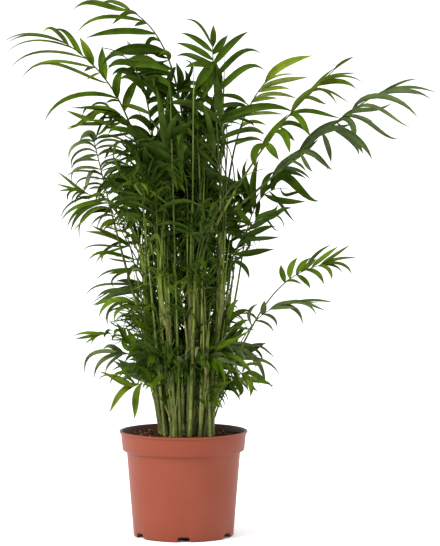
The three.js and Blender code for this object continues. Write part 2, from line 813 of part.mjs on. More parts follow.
function addMesh(group, name, solid, finish) {
  const mesh = new THREE.Mesh(geometryFrom(solid), finish);
  mesh.name = name;
  group.add(mesh);
}

function pottedPalm() {
  const group = new THREE.Group();
  const random = seededRandom(SEED);
  const pot = potSolid();
  const soil = soilSolid();
  addMesh(group, "pot", pot, material(COLOURS.pot, 0.45));
  addMesh(group, "soil", soil, material(COLOURS.soil, 0.95));

  const canes = Array.from({ length: CLUMP.canes }, (_, i) => caneRule(i, random));
  const limbs = canes.map(caneLimb);
  const obstacles = [obstacle(pot, pot), obstacle(soil, soil)];
  const caneFinish = material(COLOURS.cane, 0.6);
  limbs.forEach((limb, i) => {
    const solid = caneSolid(limb);
    obstacles.push(obstacle(solid, limb));
    addMesh(group, "stem_" + twoDigits(i + 1), solid, caneFinish);
  });

  const rows = [...OUTLINE_FRONDS, ...fillRows(canes, random)];
  const rachises = [];
  for (const row of rows) {
    rachises.push(clearRachis(row, canes[row.cane - 1], [...limbs, ...rachises]));
  }
  for (const limb of rachises) {
    obstacles.push(obstacle(frondSolid({ limb, pairs: leafletPairs(limb) }), limb));
  }
  const frondFinish = material(COLOURS.frond, 0.5);
  growLeaflets(rachises, obstacles).forEach((frond, i) => {
    addMesh(group, "frond_" + twoDigits(i + 1), frondSolid(frond), frondFinish);
  });
  return group;
}

export default pottedPalm();
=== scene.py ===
"""The looks of a potted parlour palm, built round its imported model.

Blender works in metres, +Z up. The plant's own rule is written in millimetres, as its solids
are, and each mesh is scaled once, when it is made.
"""

from __future__ import annotations

import logging
import math
from collections.abc import Iterator, Sequence
from dataclasses import dataclass, field, replace
from enum import Enum
from typing import Any

import bpy
import numpy as np
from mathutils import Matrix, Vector


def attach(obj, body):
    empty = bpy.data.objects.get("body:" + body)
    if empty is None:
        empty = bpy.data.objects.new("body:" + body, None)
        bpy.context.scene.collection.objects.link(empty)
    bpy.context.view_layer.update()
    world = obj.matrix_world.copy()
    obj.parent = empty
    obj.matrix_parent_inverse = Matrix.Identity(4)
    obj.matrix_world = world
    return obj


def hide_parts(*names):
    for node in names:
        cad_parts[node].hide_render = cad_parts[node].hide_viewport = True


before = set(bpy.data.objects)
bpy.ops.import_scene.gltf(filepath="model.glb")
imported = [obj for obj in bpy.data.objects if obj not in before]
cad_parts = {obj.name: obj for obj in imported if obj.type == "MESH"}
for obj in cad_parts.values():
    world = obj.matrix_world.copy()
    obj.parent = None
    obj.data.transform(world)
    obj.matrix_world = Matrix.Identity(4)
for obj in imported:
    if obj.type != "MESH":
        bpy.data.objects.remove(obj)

log = logging.getLogger("parlour_palm")

MM = 0.001
SEED = 20
CLEARANCE = 0.3
SOIL_SURFACE = 189.0
CLUMP_BASE = 180.0
GOLDEN_ANGLE = 137.508
EAST, NORTH, UP = np.eye(3)

Colour = tuple[float, float, float]
Place = tuple[float, float, float]


# ---- Numbers and vectors ---------------------------------------------------------------------


def lerp(start: float, end: float, share: float) -> float:
    """The number that lies a share of the way from start to end."""
    return start + (end - start) * share


def clamp(number: float, low: float, high: float) -> float:
    """The number, kept between low and high."""
    return max(low, min(high, number))


def unit(vectors: np.ndarray) -> np.ndarray:
    """Each vector of an array, made one long."""
    return vectors / np.linalg.norm(vectors, axis=-1, keepdims=True)


def turned(vectors: np.ndarray, axes: np.ndarray, angles: np.ndarray | float) -> np.ndarray:
    """Vectors that are square to their axes, turned about them by angles in radians."""
    angles = np.asarray(angles)[..., None]
    return vectors * np.cos(angles) + np.cross(axes, vectors) * np.sin(angles)


def cubic(controls: np.ndarray, shares: np.ndarray) -> np.ndarray:
    """The points of a cubic curve.

    Args:
        controls: its four control points.
        shares: how far along the curve the points are, from 0 to 1.

    Returns:
        A point for each share.
    """
    t = np.asarray(shares, float)[..., None]
    a, b, c, d = controls
    return (1 - t) ** 3 * a + 3 * t * (1 - t) ** 2 * b + 3 * t * t * (1 - t) * c + t**3 * d


def turned_about(points: np.ndarray, axis: int, angle: float) -> np.ndarray:
    """Points turned about one of the three axes.

    Args:
        points: the points.
        axis: 0, 1 or 2 for X, Y or Z.
        angle: in radians.

    Returns:
        The turned points.
    """
    first, second = [(1, 2), (2, 0), (0, 1)][axis]
    cosine, sine = math.cos(angle), math.sin(angle)
    made = points.copy()
    made[..., first] = points[..., first] * cosine - points[..., second] * sine
    made[..., second] = points[..., first] * sine + points[..., second] * cosine
    return made


class SeededRandom:
    """The repeatable numbers from 0 to 1 that the plant's solids were grown with."""

    MASK = 0xFFFFFFFF
    STEP = 0x6D2B79F5
    MIXER = 61
    RANGE = 2**32

    def __init__(self, seed: int) -> None:
        """Starts the row of numbers at a seed."""
        self.state = seed

    def __call__(self) -> float:
        """Draws a number.

        Returns:
            The next one.
        """
        self.state = (self.state + self.STEP) & self.MASK
        t = ((self.state ^ (self.state >> 15)) * (1 | self.state)) & self.MASK
        t = ((t + (((t ^ (t >> 7)) * (self.MIXER | t)) & self.MASK)) & self.MASK) ^ t
        return (t ^ (t >> 14)) / self.RANGE


# ---- The plant's rule ------------------------------------------------------------------------


@dataclass(frozen=True)
class Limb:
    """A cane or rachis as the points of its spine, with a radius at each."""

    spine: np.ndarray
    radii: np.ndarray


@dataclass(frozen=True)
class Cane:
    """One cane of the clump, straight and leaning out, with a flared foot."""

    away: np.ndarray
    foot: float
    top: float
    centre_x: float = 5.0
    lean: float = 0.0036
    base_radius: float = 6.0
    flare_height: float = 28.0
    shaft_radius: float = 4.6
    top_radius: float = 3.2
    taper_height: float = 420.0
    spear_length: float = 110.0
    spear_radius: float = 0.8
    steps: int = 4

    def centre(self, z: float) -> np.ndarray:
        """The middle of the cane at a height."""
        share = 1 + self.lean * (z - CLUMP_BASE)
        return np.array([self.centre_x, 0, z]) + self.away * share

    def direction(self) -> np.ndarray:
        """The way the cane points."""
        return unit(UP + self.away * self.lean)

    def radius(self, z: float) -> float:
        """The cane's radius.

        Args:
            z: the height where it is measured.

        Returns:
            The radius there.
        """
        flare = clamp(1 - (z - self.foot) / self.flare_height, 0, 1)
        taper = clamp((z - self.foot) / self.taper_height, 0, 1)
        shaft = lerp(self.shaft_radius, self.top_radius, taper)
        return shaft + (self.base_radius - self.shaft_radius) * flare * flare

    def limb(self) -> Limb:
        """The whole cane.

        Returns:
            It as a limb, up to the tip of its spear.
        """
        flare_top = self.foot + self.flare_height
        heights = [self.foot, self.foot + self.flare_height / 2]
        heights += [lerp(flare_top, self.top, k / self.steps) for k in range(self.steps + 1)]
        spine = [self.centre(z) for z in heights]
        radii = [self.radius(z) for z in heights]
        spine.append(self.centre(self.top + self.spear_length))
        radii.append(self.spear_radius)
        return Limb(np.array(spine), np.array(radii))


@dataclass(frozen=True)
class Clump:
    """Canes in a sunflower spiral, tallest in the middle."""

    canes: int = 14
    radius: float = 46.0
    first_bearing: float = 34.0
    inner_height: float = 480.0
    outer_height: float = 250.0
    height_spread: float = 60.0
    shoot_radius: float = 50.0
    shoot_turn: float = 68.0
    shoot_heights: tuple[float, float] = (60.0, 260.0)
    shoot_offset: float = 0.7
    shoot_foot: float = 4.4
    shoot_shafts: tuple[float, float] = (2.4, 3.6)
    shoot_top: float = 2.2
    tall_radii: tuple[float, float, float] = (3.2, 2.3, 1.5)
    shoot_spear: float = 60.0

    def cane(self, index: int, random: SeededRandom) -> Cane:
        """One cane of the spiral.

        Args:
            index: its place in the spiral, from 0.
            random: the plant's numbers, of which it takes one.

        Returns:
            The cane.
        """
        radius = self.radius * math.sqrt((index + 0.5) / self.canes)
        bearing = math.radians(self.first_bearing + index * GOLDEN_ANGLE)
        height = lerp(self.inner_height, self.outer_height, radius / self.radius)
        height += self.height_spread * (random() - 0.5)
        away = np.array([radius * math.cos(bearing), radius * math.sin(bearing), 0])
        return Cane(away, SOIL_SURFACE + CLEARANCE, CLUMP_BASE + height)

    def tall_shoot(self, x: float, y: float, lean: float, top: float) -> Cane:
        """A long, thin, nearly upright shoot.

        Args:
            x: where it stands, to the right of the clump's middle.
            y: where it stands, behind that middle.
            lean: how far it leans out for each mm of height, as a share of its place.
            top: the height of its top.

        Returns:
            The shoot.
        """
        base, shaft, tip = self.tall_radii
        return Cane(
            np.array([x, y, 0]),
            SOIL_SURFACE + CLEARANCE,
            top,
            lean=lean,
            base_radius=base,
            shaft_radius=shaft,
            top_radius=tip,
            spear_length=self.shoot_spear,
        )

    def shoot(self, index: int, count: int, random: np.random.Generator) -> Cane:
        """A young shoot between the canes, too slim for the solids.

        Args:
            index: its place in the spiral of shoots, from 0.
            count: how many shoots there are.
            random: the source of their differences.

        Returns:
            The shoot.
        """
        radius = self.shoot_radius * math.sqrt((index + self.shoot_offset) / count)
        bearing = math.radians(self.first_bearing + self.shoot_turn + index * GOLDEN_ANGLE)
        away = np.array([radius * math.cos(bearing), radius * math.sin(bearing), 0])
        top = CLUMP_BASE + lerp(*self.shoot_heights, random.uniform(0, 1))
        return Cane(
            away,
            SOIL_SURFACE + CLEARANCE,
            top,
            base_radius=self.shoot_foot,
            shaft_radius=random.uniform(*self.shoot_shafts),
            top_radius=self.shoot_top,
            spear_length=self.shoot_spear,
        )


class Tone(Enum):
    """The greens of the fronds, from the shaded old ones to the young; deep is partly painted shade,
    silvery partly painted sheen.
    """

    DEEP = "deep"
    FRESH = "fresh"
    SILVERY = "silvery"
    YOUNG = "young"


@dataclass(frozen=True)
class Habit:
    """How a frond's leaflets differ from the usual, with pairs of numbers for its two sides."""

    spacing: float = 20.0
    widths: tuple[float, float] = (12.0, 12.0)
    skip: float = 0.0
    sweep: float = 0.0
    disorder: float = 1.0
    lengths: tuple[float, float] = (1.0, 1.0)
    droops: tuple[float, float] = (0.0, 0.0)
    levels: tuple[float, float] = (0.35, 0.35)


ARCHING = Habit(droops=(8, 8))
BROAD = Habit(
    spacing=22,
    widths=(17, 17),
    sweep=10,
    disorder=2.2,
    droops=(-22, -8),
    levels=(0.1, 0.2),
)
FINE = Habit(
    spacing=17,
    widths=(7.5, 7.5),
    sweep=18,
    disorder=2.6,
    lengths=(0.95, 0.8),
    droops=(-34, -14),
    levels=(0.05, 0.3),
)
SCANT = Habit(spacing=26, widths=(13, 13), disorder=1.6, lengths=(0.6, 0.6), droops=(-10, -10))
LOOSE = Habit(spacing=24, widths=(15, 15), disorder=1.9, droops=(6, 6), levels=(0.1, 0.1))
CASCADE = Habit(
    spacing=16, widths=(10, 10), sweep=-24, disorder=1.2, droops=(18, 18), levels=(0.5, 0.5)
)
SPARSE = Habit(spacing=28, widths=(14, 12), sweep=4, lengths=(1.1, 0.7), levels=(0.1, 0.5))
SWEEPING = Habit(
    spacing=27, widths=(11, 18), lengths=(1.4, 0.62), droops=(-4, -34), levels=(0.9, 0.0)
)
UPRIGHT_FAN = Habit(
    spacing=24, widths=(16, 16), skip=0.3, sweep=-16, droops=(-38, -38), levels=(0.0, 0.0)
)
FORWARD = Habit(
    spacing=24, widths=(16, 16), sweep=10, lengths=(1.2, 1.0), droops=(-14, -14)
)
PENDENT = Habit(
    spacing=20, widths=(14, 14), sweep=14, disorder=1.5, droops=(12, 12), levels=(0.1, 0.1)
)
STALKED = Habit(spacing=16, widths=(13, 13), skip=0.06, droops=(6, 6), levels=(0.2, 0.2))


@dataclass(frozen=True)
class Frond:
    """One frond's row: where its rachis leaves its cane and ends, and how it holds itself."""

    cane: int
    node: float
    end: Place
    pitch: float
    roll: float
    lift: float
    bare: float
    leaflet: float
    tone: Tone = Tone.FRESH
    habit: Habit = ARCHING
    leave: float = 10.0


OUTLINE_FRONDS = (
    Frond(1, 628, (-130, -20, 992), 15, 20, -40, 0.42, 130, Tone.FRESH, SPARSE),
    Frond(2, 500, (-224, 20, 922), 30, 45, 0, 0.5, 135, Tone.FRESH, SWEEPING),
    Frond(5, 520, (-165, -45, 798), -8, 15, -25, 0.45, 120, Tone.FRESH),
    Frond(10, 340, (-168, 15, 743), 76, 110, 10, 0.42, 85, Tone.SILVERY, CASCADE),
    Frond(7, 400, (-146, 75, 640), 74, 110, 10, 0.42, 85, Tone.FRESH, CASCADE),
    Frond(10, 410, (-178, -35, 640), 10, 20, -25, 0.5, 105, Tone.FRESH),
    Frond(7, 350, (-128, 40, 521), 0, 15, -30, 0.45, 95, Tone.SILVERY),
    Frond(5, 290, (-116, -60, 440), -5, 15, -30, 0.45, 95, Tone.FRESH, LOOSE),
    Frond(10, 245, (-146, -20, 380), -5, 10, -35, 0.5, 85, Tone.FRESH),
    Frond(7, 225, (-120, 45, 334), -20, 10, -30, 0.45, 90, Tone.SILVERY, LOOSE),
    Frond(13, 212, (-92, -75, 288), -25, 15, -30, 0.45, 95, Tone.FRESH, LOOSE),
    Frond(6, 490, (54, -60, 910), 84, 0, 12, 0.4, 90, Tone.DEEP, UPRIGHT_FAN),
    Frond(9, 470, (170, 95, 864), 44, 15, -20, 0.45, 105, Tone.YOUNG, FORWARD),
    Frond(3, 540, (277, -60, 868), 42, 10, -45, 0.45, 120, Tone.FRESH, PENDENT, 25),
    Frond(1, 560, (384, 25, 836), 27, 10, -50, 0.4, 130, Tone.SILVERY, PENDENT, 55),
    Frond(6, 400, (160, -70, 600), 10, -10, -25, 0.45, 110, Tone.DEEP),
    Frond(11, 250, (256, -50, 509), 12, -60, 12, 0.6, 100, Tone.FRESH, STALKED, 24),
    Frond(14, 240, (204, 30, 432), 3, -15, -35, 0.5, 90, Tone.SILVERY),
    Frond(6, 262, (108, -45, 424), 24, 10, -30, 0.6, 70, Tone.FRESH),
    Frond(11, 208, (124, -55, 308), -12, 15, -35, 0.5, 80, Tone.FRESH, LOOSE),
    Frond(14, 218, (116, 42, 286), -25, 10, -35, 0.5, 75, Tone.FRESH, LOOSE),
    Frond(2, 570, (-146, -70, 908), 5, 25, -10, 0.45, 125, Tone.DEEP),
    Frond(13, 300, (-108, -25, 482), -5, 15, -25, 0.45, 90, Tone.FRESH, LOOSE),
    Frond(5, 400, (-112, -85, 590), -15, 15, -25, 0.45, 110, Tone.FRESH),
    Frond(14, 380, (196, 70, 648), -5, -10, -30, 0.45, 110, Tone.DEEP),
    Frond(9, 250, (130, 60, 346), -10, -10, -30, 0.5, 85, Tone.SILVERY, LOOSE),
    Frond(8, 420, (146, -130, 688), 10, -10, -15, 0.45, 115, Tone.DEEP, SCANT),
    Frond(12, 420, (-112, 140, 668), 5, 15, -15, 0.45, 110, Tone.DEEP),
    Frond(13, 400, (-86, -150, 690), -5, 15, -15, 0.45, 115, Tone.DEEP),
)


# Boxes of the front view, as left, top, right and bottom. No leaflet of the rules reaches into
# an opening, and those before the canes stay out of a window.
OPENINGS = (
    (0, 0, 90, 430),
    (0, 0, 104, 104),
    (0, 234, 104, 430),
    (0, 0, 118, 100),
    (104, 236, 128, 288),
    (0, 0, 440, 58),
    (222, 0, 440, 101),
    (262, 0, 440, 430),
    (132, 93, 152, 107),
    (126, 107, 144, 121),
    (150, 121, 162, 136),
    (186, 67, 195, 82),
    (227, 143, 256, 168),
    (222, 158, 234, 178),
    (240, 256, 262, 302),
    (112, 392, 150, 430),
    (228, 395, 262, 430),
)
WINDOWS = (
    (186, 124, 206, 200),
    (221, 112, 230, 262),
)


class Blade:
    """A leaflet posed on a front view of the plant, in whose units its points are."""

    def __init__(self, width: float, *places: float) -> None:
        """A leaflet that looks so wide, and starts, bends and ends at pairs of places."""
        self.width = width
        self.points = np.reshape(np.array(places, float), (-1, 2))


# For each frond, by number, a row for each leaflet: its width, then the places it runs through.
POSED_LEAFLETS: dict[int, tuple[tuple[float, ...], ...]] = {
    1: (
        (4.5, 173, 59, 170, 54.5, 165, 53, 159, 56), (4, 131, 11, 121, 5.5, 110, 3, 97, 10),
        (4.5, 130, 11, 110, 8, 92, 3.5, 73, 11), (4, 138, 16, 131, 13.5, 122, 17.5, 112, 25),
        (4.2, 145, 23, 118, 18.5, 95, 20.5, 76, 36), (3, 147, 24, 140, 25, 134, 27),
        (6.5, 155, 35, 130, 32, 108, 33, 85, 39), (4, 162, 41, 150, 39, 146, 47, 148, 57),
    ),
    2: (
        (2.6, 69, 45, 50, 38, 25, 35, 0, 46), (2.2, 66, 44, 45, 38, 30, 36.5, 6, 45),
        (1.6, 76, 49, 50, 42, 25, 43, 3, 58), (2.8, 88, 59, 62, 53.5, 30, 55.5, 9, 71),
        (2.4, 98, 67, 76, 64, 52, 62, 30, 68), (2.8, 108, 84.5, 80, 74, 46, 64, 20, 82),
        (4.4, 118, 99, 90, 94.5, 62, 102, 44, 124), (2, 122, 100.5, 113, 101, 105, 103.5),
        (4.5, 70, 44.5, 59, 34, 50, 29, 43, 35.5), (6, 84, 55, 76, 43, 66, 31.5, 53, 30),
        (8, 95, 64, 88, 51, 80, 37), (9, 107, 79, 103, 64, 103, 46), (8.5, 117, 98, 117, 83, 125, 67),
        (8.5, 126, 110, 129, 96, 140, 77), (2.4, 101, 72, 93, 77, 86, 80), (2.4, 97, 66, 90, 69, 84, 72),
        (4.5, 127, 102, 141, 109, 155, 117),
    ),
    3: (
        (2.8, 121, 112, 105, 107.5, 85, 108, 70, 107), (5.5, 122, 112, 102, 108, 85, 119, 66, 129),
        (3.8, 97, 109, 92, 119.5, 80, 117, 66, 110.5), (2.4, 110, 110, 103, 104.5, 95, 105, 90, 112),
        (3, 124, 119, 108, 125, 96, 121, 86, 122.5), (2.2, 95, 108, 87, 109, 84, 113, 83, 118),
        (2.6, 113, 113, 108, 127, 100, 134, 95, 136), (6.5, 130, 126, 122, 120, 112, 114, 99, 113),
        (6, 132, 128, 124, 130, 115, 129, 108, 136),
    ),
    4: (
        (7.5, 96, 141, 90, 133.5, 84, 136, 80, 140), (2.4, 95, 142, 88, 140.5, 76, 143),
        (2.4, 96, 149, 82, 143, 73, 148, 70, 161), (2.6, 97, 153, 83, 150.5, 75, 156, 72.5, 170),
        (3, 98, 154, 90, 156.5, 79, 157.5), (2, 98, 161, 87, 160, 77, 161.5, 72, 169),
        (2.6, 100, 169.5, 88, 168, 76, 170, 73, 184), (1.6, 100, 174, 88, 172, 76, 171.5, 65, 178.5),
        (3.4, 101, 176, 91, 173, 88, 182, 80, 192), (1.6, 102, 180, 88, 178, 79, 181, 76, 190),
        (1.7, 104, 186, 92, 184, 86, 186, 81, 192), (2.6, 105, 189.5, 96, 188, 87, 189.5),
        (2.8, 95, 141, 108, 136, 122, 140, 134, 144), (2.8, 95, 146, 110, 140.5, 122, 143, 132, 147),
        (2.2, 96, 149, 106, 146.5, 117, 147, 127, 152), (4.2, 98, 156, 110, 151, 124, 154, 141, 160),
        (2.3, 100, 168, 108, 161, 117, 160, 126, 164), (3.2, 101, 170, 112, 163, 123, 163.5, 134, 168.5),
        (3.6, 103, 179, 114, 169, 125, 167.5, 141, 177), (4.2, 104, 183, 114, 176, 127, 176.5, 141, 178),
        (1.6, 105, 187, 109, 181, 114, 183), (2.6, 107, 193, 114, 192, 121, 197),
    ),
    5: (
        (4.4, 108, 198, 95, 202, 80, 206, 60, 222.5), (1.6, 107, 196, 82, 198.5, 68, 206, 60, 220),
        (1.6, 108, 199, 90, 204, 76, 213, 67, 228.5), (2.7, 110, 203, 92, 206, 79, 215, 71, 231.5),
        (3.6, 112, 209, 95, 210, 83, 221, 71, 231), (2.7, 114, 213, 93, 209.5, 83, 219, 81, 240),
        (3.8, 113, 212, 101, 210.5, 90, 213, 84, 222), (2.7, 114, 217, 104, 216, 96, 220, 90, 226),
        (4, 116, 221, 109, 222, 104, 225, 99, 230), (3, 117, 224, 110, 225, 103, 231.5),
        (1.6, 112, 210, 101, 219, 98, 225, 97, 231), (4.6, 122, 252, 110, 239, 98, 233.5, 84, 231),
        (3, 120, 248, 110, 238, 99, 230, 90, 224), (1.7, 121, 250, 104, 247.5, 92, 246, 81, 251),
        (2.3, 125, 266, 113, 258, 100, 253.5, 87, 262), (3.3, 119, 246, 111, 247, 105, 251, 98, 256),
        (1.6, 121, 250, 106, 254, 99, 258, 96, 264.5), (1.6, 119, 244, 104, 253, 102, 259, 103, 264),
        (4, 110, 203, 122, 198, 134, 204, 141, 216), (2.6, 112, 208, 126, 204, 136, 210, 140, 224),
        (2.6, 114, 215, 126, 213, 132, 219, 135, 229), (2.2, 117, 226, 126, 222, 131, 229, 132, 238),
        (2.2, 121, 240, 130, 236.5, 141, 237), (2.2, 123, 245, 131, 244, 142, 241),
    ),
    6: (
        (1.6, 118, 240, 125, 238, 131, 236), (1.6, 122, 245, 130, 244, 137, 245),
        (1.8, 113, 231, 120, 230, 128, 228), (1.4, 124, 264, 115, 261, 107, 257),
        (1.2, 126, 272, 118, 273, 108, 273), (3.8, 87, 195, 76, 188, 66, 179, 55.5, 170),
        (2.3, 86, 196, 76, 191.5, 66, 187.5, 55, 182.5), (1.7, 85, 196, 74, 191, 66, 190.5, 57.5, 190.5),
        (2.8, 94, 198, 85, 198.5, 78, 195.5), (1.7, 76, 190, 68.5, 190, 67.5, 195, 68.5, 200.5),
        (2.4, 86, 196, 77, 194, 73, 198, 73, 204.5), (1.7, 88, 197, 80, 196, 77, 199.5, 76, 204),
        (3.4, 105, 199, 101, 194.5, 95, 195, 88, 200), (4, 118, 214, 112, 205, 104, 199, 94, 201.5),
        (6, 125, 229, 133, 218, 135, 207, 130, 196), (5, 119, 216, 127, 206, 137, 202, 146, 206),
        (5, 116, 210, 122, 200, 133, 193, 143, 196),
    ),
    7: (
        (2.3, 130, 276, 118, 273, 107, 273, 95, 281), (2.6, 128, 279, 119, 276, 113, 278.5, 116, 289),
        (3.8, 130, 291, 125, 284, 121, 281.5, 115, 281), (3.4, 127, 291, 112, 288, 98, 286.5, 84, 297.5),
        (5.4, 132, 292, 118, 293, 105, 292, 96, 298.5), (2.2, 128, 296, 112, 293.5, 102, 300, 91, 305),
        (2.2, 130, 298, 114, 296.5, 105, 299, 96, 306), (1.5, 128, 294, 112, 291, 98, 298, 88, 306),
        (2.6, 141, 270, 146, 258, 154, 250, 163, 249), (2.6, 137, 266, 141, 256, 148, 248, 156, 246),
        (3.6, 140, 272, 132, 268, 129, 275, 128, 285),
    ),
    8: (
        (4, 135, 303, 118, 299, 106, 305, 98.5, 318), (3.2, 138, 304, 122, 302, 110, 310, 109, 327),
        (4.4, 140, 306, 127, 306, 117, 312, 115, 323), (3.2, 142, 309, 134, 310, 128, 316, 124, 326),
        (1.7, 136, 304, 120, 299, 104, 302, 93, 306), (4.6, 148, 333, 141, 329, 136, 324, 128, 321),
        (4.8, 150, 336, 139, 327, 131, 318, 134, 309), (4, 145, 314, 152, 305, 160, 301, 168, 303),
    ),
    9: (
        (2.3, 108, 333, 97, 334, 85, 333.5, 72, 336.5), (2.2, 106, 334, 94, 336.5, 83, 338, 74, 338.5),
        (3, 105, 333.5, 98, 335, 94, 339, 90.5, 344.5), (1.7, 105, 333.5, 96, 337, 89, 341, 83, 344),
        (2.2, 110, 333, 106, 334, 104.5, 338), (2.8, 117, 334, 114.5, 336, 112, 340.5),
        (3.4, 107, 333, 109, 330.5, 112, 331), (3.4, 115, 333.5, 117, 331, 121, 333),
        (5.4, 128, 348, 122, 337, 119, 328, 115, 321.5), (5.8, 134, 352, 124, 342, 125, 333, 123, 326),
        (7, 138, 356, 135, 345, 131, 335, 125, 327), (6, 141, 362, 134, 354, 131, 346, 133, 336),
        (3.6, 143, 362, 140, 351, 133, 346), (5.6, 146, 360, 142, 346, 146, 336, 152, 331),
    ),
    10: (
        (3.8, 125, 355, 116, 350, 109, 346.5, 102, 350.5), (4.6, 128, 356, 110, 353, 94, 354, 85, 377),
        (2.4, 126, 357, 108, 358, 99, 363, 94, 371), (3.4, 130, 358, 112, 358, 99, 365, 94.5, 380),
        (2.8, 124, 356, 113, 362, 108, 367, 105, 376), (8.5, 145, 386, 134, 379, 124, 369, 112, 360),
        (8, 150, 372, 140, 371, 128, 366, 116, 358), (5, 148, 367, 140, 364, 132, 368, 127, 380),
        (6, 141, 359, 146, 349, 151, 343, 157, 341), (5, 154, 376, 142, 374, 131, 375, 120, 379),
    ),
    11: (
        (6, 138, 385, 125, 390, 117, 399, 108.5, 414), (7, 141, 384, 136, 394, 135, 406, 133.5, 420),
        (5.2, 139, 385, 124, 384.5, 111, 377.5, 96, 371), (1.4, 134, 386, 112, 376, 104, 376, 96, 382),
        (2, 134, 386, 114, 377, 111, 381, 109, 386), (2.7, 134, 386, 129, 380, 127, 379, 127, 387),
        (5, 149, 387, 147, 378, 143, 370, 136, 366), (5.4, 152, 390, 158, 380, 166, 376, 175, 379),
        (2.8, 144, 384, 149, 386, 150, 394),
    ),
    12: (
        (10, 216, 62, 209, 70, 201, 79, 194, 92), (9, 219, 68, 214, 77, 208, 87, 203, 99),
        (6, 214, 68, 204, 65, 194, 65, 184, 68), (7, 221, 92, 222, 82, 219, 72, 214, 62),
        (5, 226, 140, 238, 133, 250, 130, 264, 135), (2.6, 226, 146, 236, 142, 248, 139, 262, 141),
        (8.4, 218, 121, 232, 117, 244, 113, 257, 110), (3.4, 224, 110, 232, 105, 244, 106, 251, 110),
        (2, 224, 97, 232, 96, 246, 102), (2.2, 252, 113, 253, 120, 254, 127),
        (5.5, 214, 46, 213, 36, 213.5, 25), (1.6, 213, 44, 205, 33, 196, 23, 184, 20),
        (6.5, 216, 54, 221, 45, 228, 35), (5.2, 215, 52, 204, 43, 193, 36.5, 180, 33),
        (5.8, 216, 60, 203, 53, 190, 47, 175, 43), (5.8, 215, 63, 200, 60, 188, 55.5, 175, 57),
        (7, 221, 65, 227, 52, 237, 39.5, 249, 31.5), (6, 221, 78, 232, 63, 246, 51, 262, 54.5),
        (6.5, 222, 92, 236, 75, 251, 65.5, 265, 71), (1.8, 223, 96, 232, 96.5, 242, 101, 252, 108),
        (3.2, 224, 109, 232, 106, 244, 107), (10, 221, 62, 212, 76, 199, 92),
        (8, 223, 119, 243, 111, 266, 106, 295, 113),
    ),
    13: (
        (7.8, 262, 80, 272, 70, 290, 61, 313, 55.5), (1.8, 262, 84, 272, 78, 283, 75, 298, 74.5),
        (5.2, 258, 89, 270, 84, 285, 80.5, 310, 76.5), (3.2, 256, 91, 268, 89.5, 280, 88, 291, 90),
        (3.8, 249, 98, 262, 94.5, 276, 94, 298, 99), (3.2, 246, 100, 258, 99, 279, 98),
        (3.2, 246, 117, 262, 114, 284, 114.5), (3.6, 236, 128, 245, 123, 255, 122, 267, 125.5),
        (4.8, 232, 132, 245, 129, 256, 130, 265, 134.5), (2.8, 230, 144, 243, 140, 252, 138.5, 263, 141),
    ),
    14: (
        (2.2, 335, 70, 341, 65, 354, 56.5), (4.2, 300, 99, 315, 86, 325, 76, 338, 66),
        (4.8, 288, 110, 300, 98, 310, 91, 321, 83), (2.6, 320, 85, 335, 76.5, 345, 74.5, 358, 72.5),
        (2.8, 322, 84, 336, 78.5, 348, 77.5, 364, 84), (5.4, 318, 87, 332, 82.5, 345, 83, 357, 90),
        (2, 310, 93, 325, 91, 333, 94, 350, 103), (3, 312, 92, 322, 91, 330, 96, 337, 105),
        (4.2, 303, 98, 311, 98.5, 318, 101.5, 328, 104), (4, 285, 115, 300, 110.5, 315, 112, 341, 118),
        (5.8, 288, 113, 298, 116, 304, 124, 311, 137), (5, 273, 129, 285, 122.5, 297, 125, 311, 137),
        (7, 274, 131, 283, 133, 287, 140, 290, 153), (3.2, 282, 129, 288, 135, 295, 141),
        (7.5, 262, 141, 268, 146, 273, 152, 279, 160), (7.5, 262, 142, 255, 146, 253, 153, 256, 168),
        (6.5, 256, 147, 265, 136, 276, 125, 289, 113),
    ),
    15: (
        (2.6, 384, 91, 395, 86.5, 405, 82, 418, 79), (2.8, 376, 95, 397, 89, 418, 88.5, 438, 93.5),
        (2.8, 380, 94, 398, 91.5, 415, 92.5, 432, 100.5), (2.2, 374, 96, 390, 93.5, 408, 93, 421, 95.5),
        (5.6, 352, 110, 367, 98, 392, 99, 418, 119), (5, 342, 118, 358, 111.5, 374, 110, 393, 101),
        (3.8, 350, 115, 378, 109.5, 394, 119, 412, 127.5),
        (4.8, 348, 124, 368, 124.5, 384, 135, 401, 138.5), (1.8, 350, 123, 360, 120, 374, 122),
        (6.4, 338, 118, 349, 121, 353, 129, 353, 142), (5.8, 338, 133, 350, 135, 362, 143, 372, 160),
        (4.8, 335, 135, 347, 139, 355, 146, 359, 156), (3.2, 345, 133, 355, 140, 363, 154),
        (6, 325, 136, 328, 148, 331, 163), (6, 302, 156, 312, 153, 322, 160, 333, 170),
        (4.2, 303, 155, 314, 157, 322, 162, 329, 171), (3, 303, 156, 305, 163, 313, 172),
        (8.5, 298, 153, 312, 137, 328, 125, 346, 119), (6.5, 312, 146, 325, 131, 338, 127, 353, 123),
        (8.5, 272, 176, 285, 162, 300, 152, 319, 138), (2.8, 292, 163, 300, 166, 306, 172),
        (3.4, 284, 170, 297, 171, 311, 180),
    ),
    16: (
        (5, 262, 218, 272, 217, 284, 209, 293, 208), (4.6, 255, 222, 262, 216, 270, 213, 278, 203),
        (5.2, 247, 229, 255, 226, 264, 221, 274, 214), (6, 243, 236, 254, 233, 265, 228, 276, 226),
        (3.8, 240, 245, 252, 240.5, 267, 238.5, 280.5, 236),
        (6.4, 235, 254, 248, 253.5, 261, 251, 275, 249), (1.6, 265, 217, 275, 215, 282, 221, 283, 231),
        (1.8, 262, 218, 268, 222, 273, 228, 281, 231), (2.6, 240, 242, 248.5, 242, 247.5, 250),
        (6.5, 243, 236, 236, 228, 232, 218, 233, 207), (5.5, 252, 225, 243, 217, 238, 208, 240, 198),
        (6, 236, 250, 228, 243, 224, 234, 226, 224), (4.4, 232, 262, 240, 264, 246, 270, 249, 279),
        (5, 233, 258, 226, 256, 221, 262, 221, 272),
    ),
    17: (
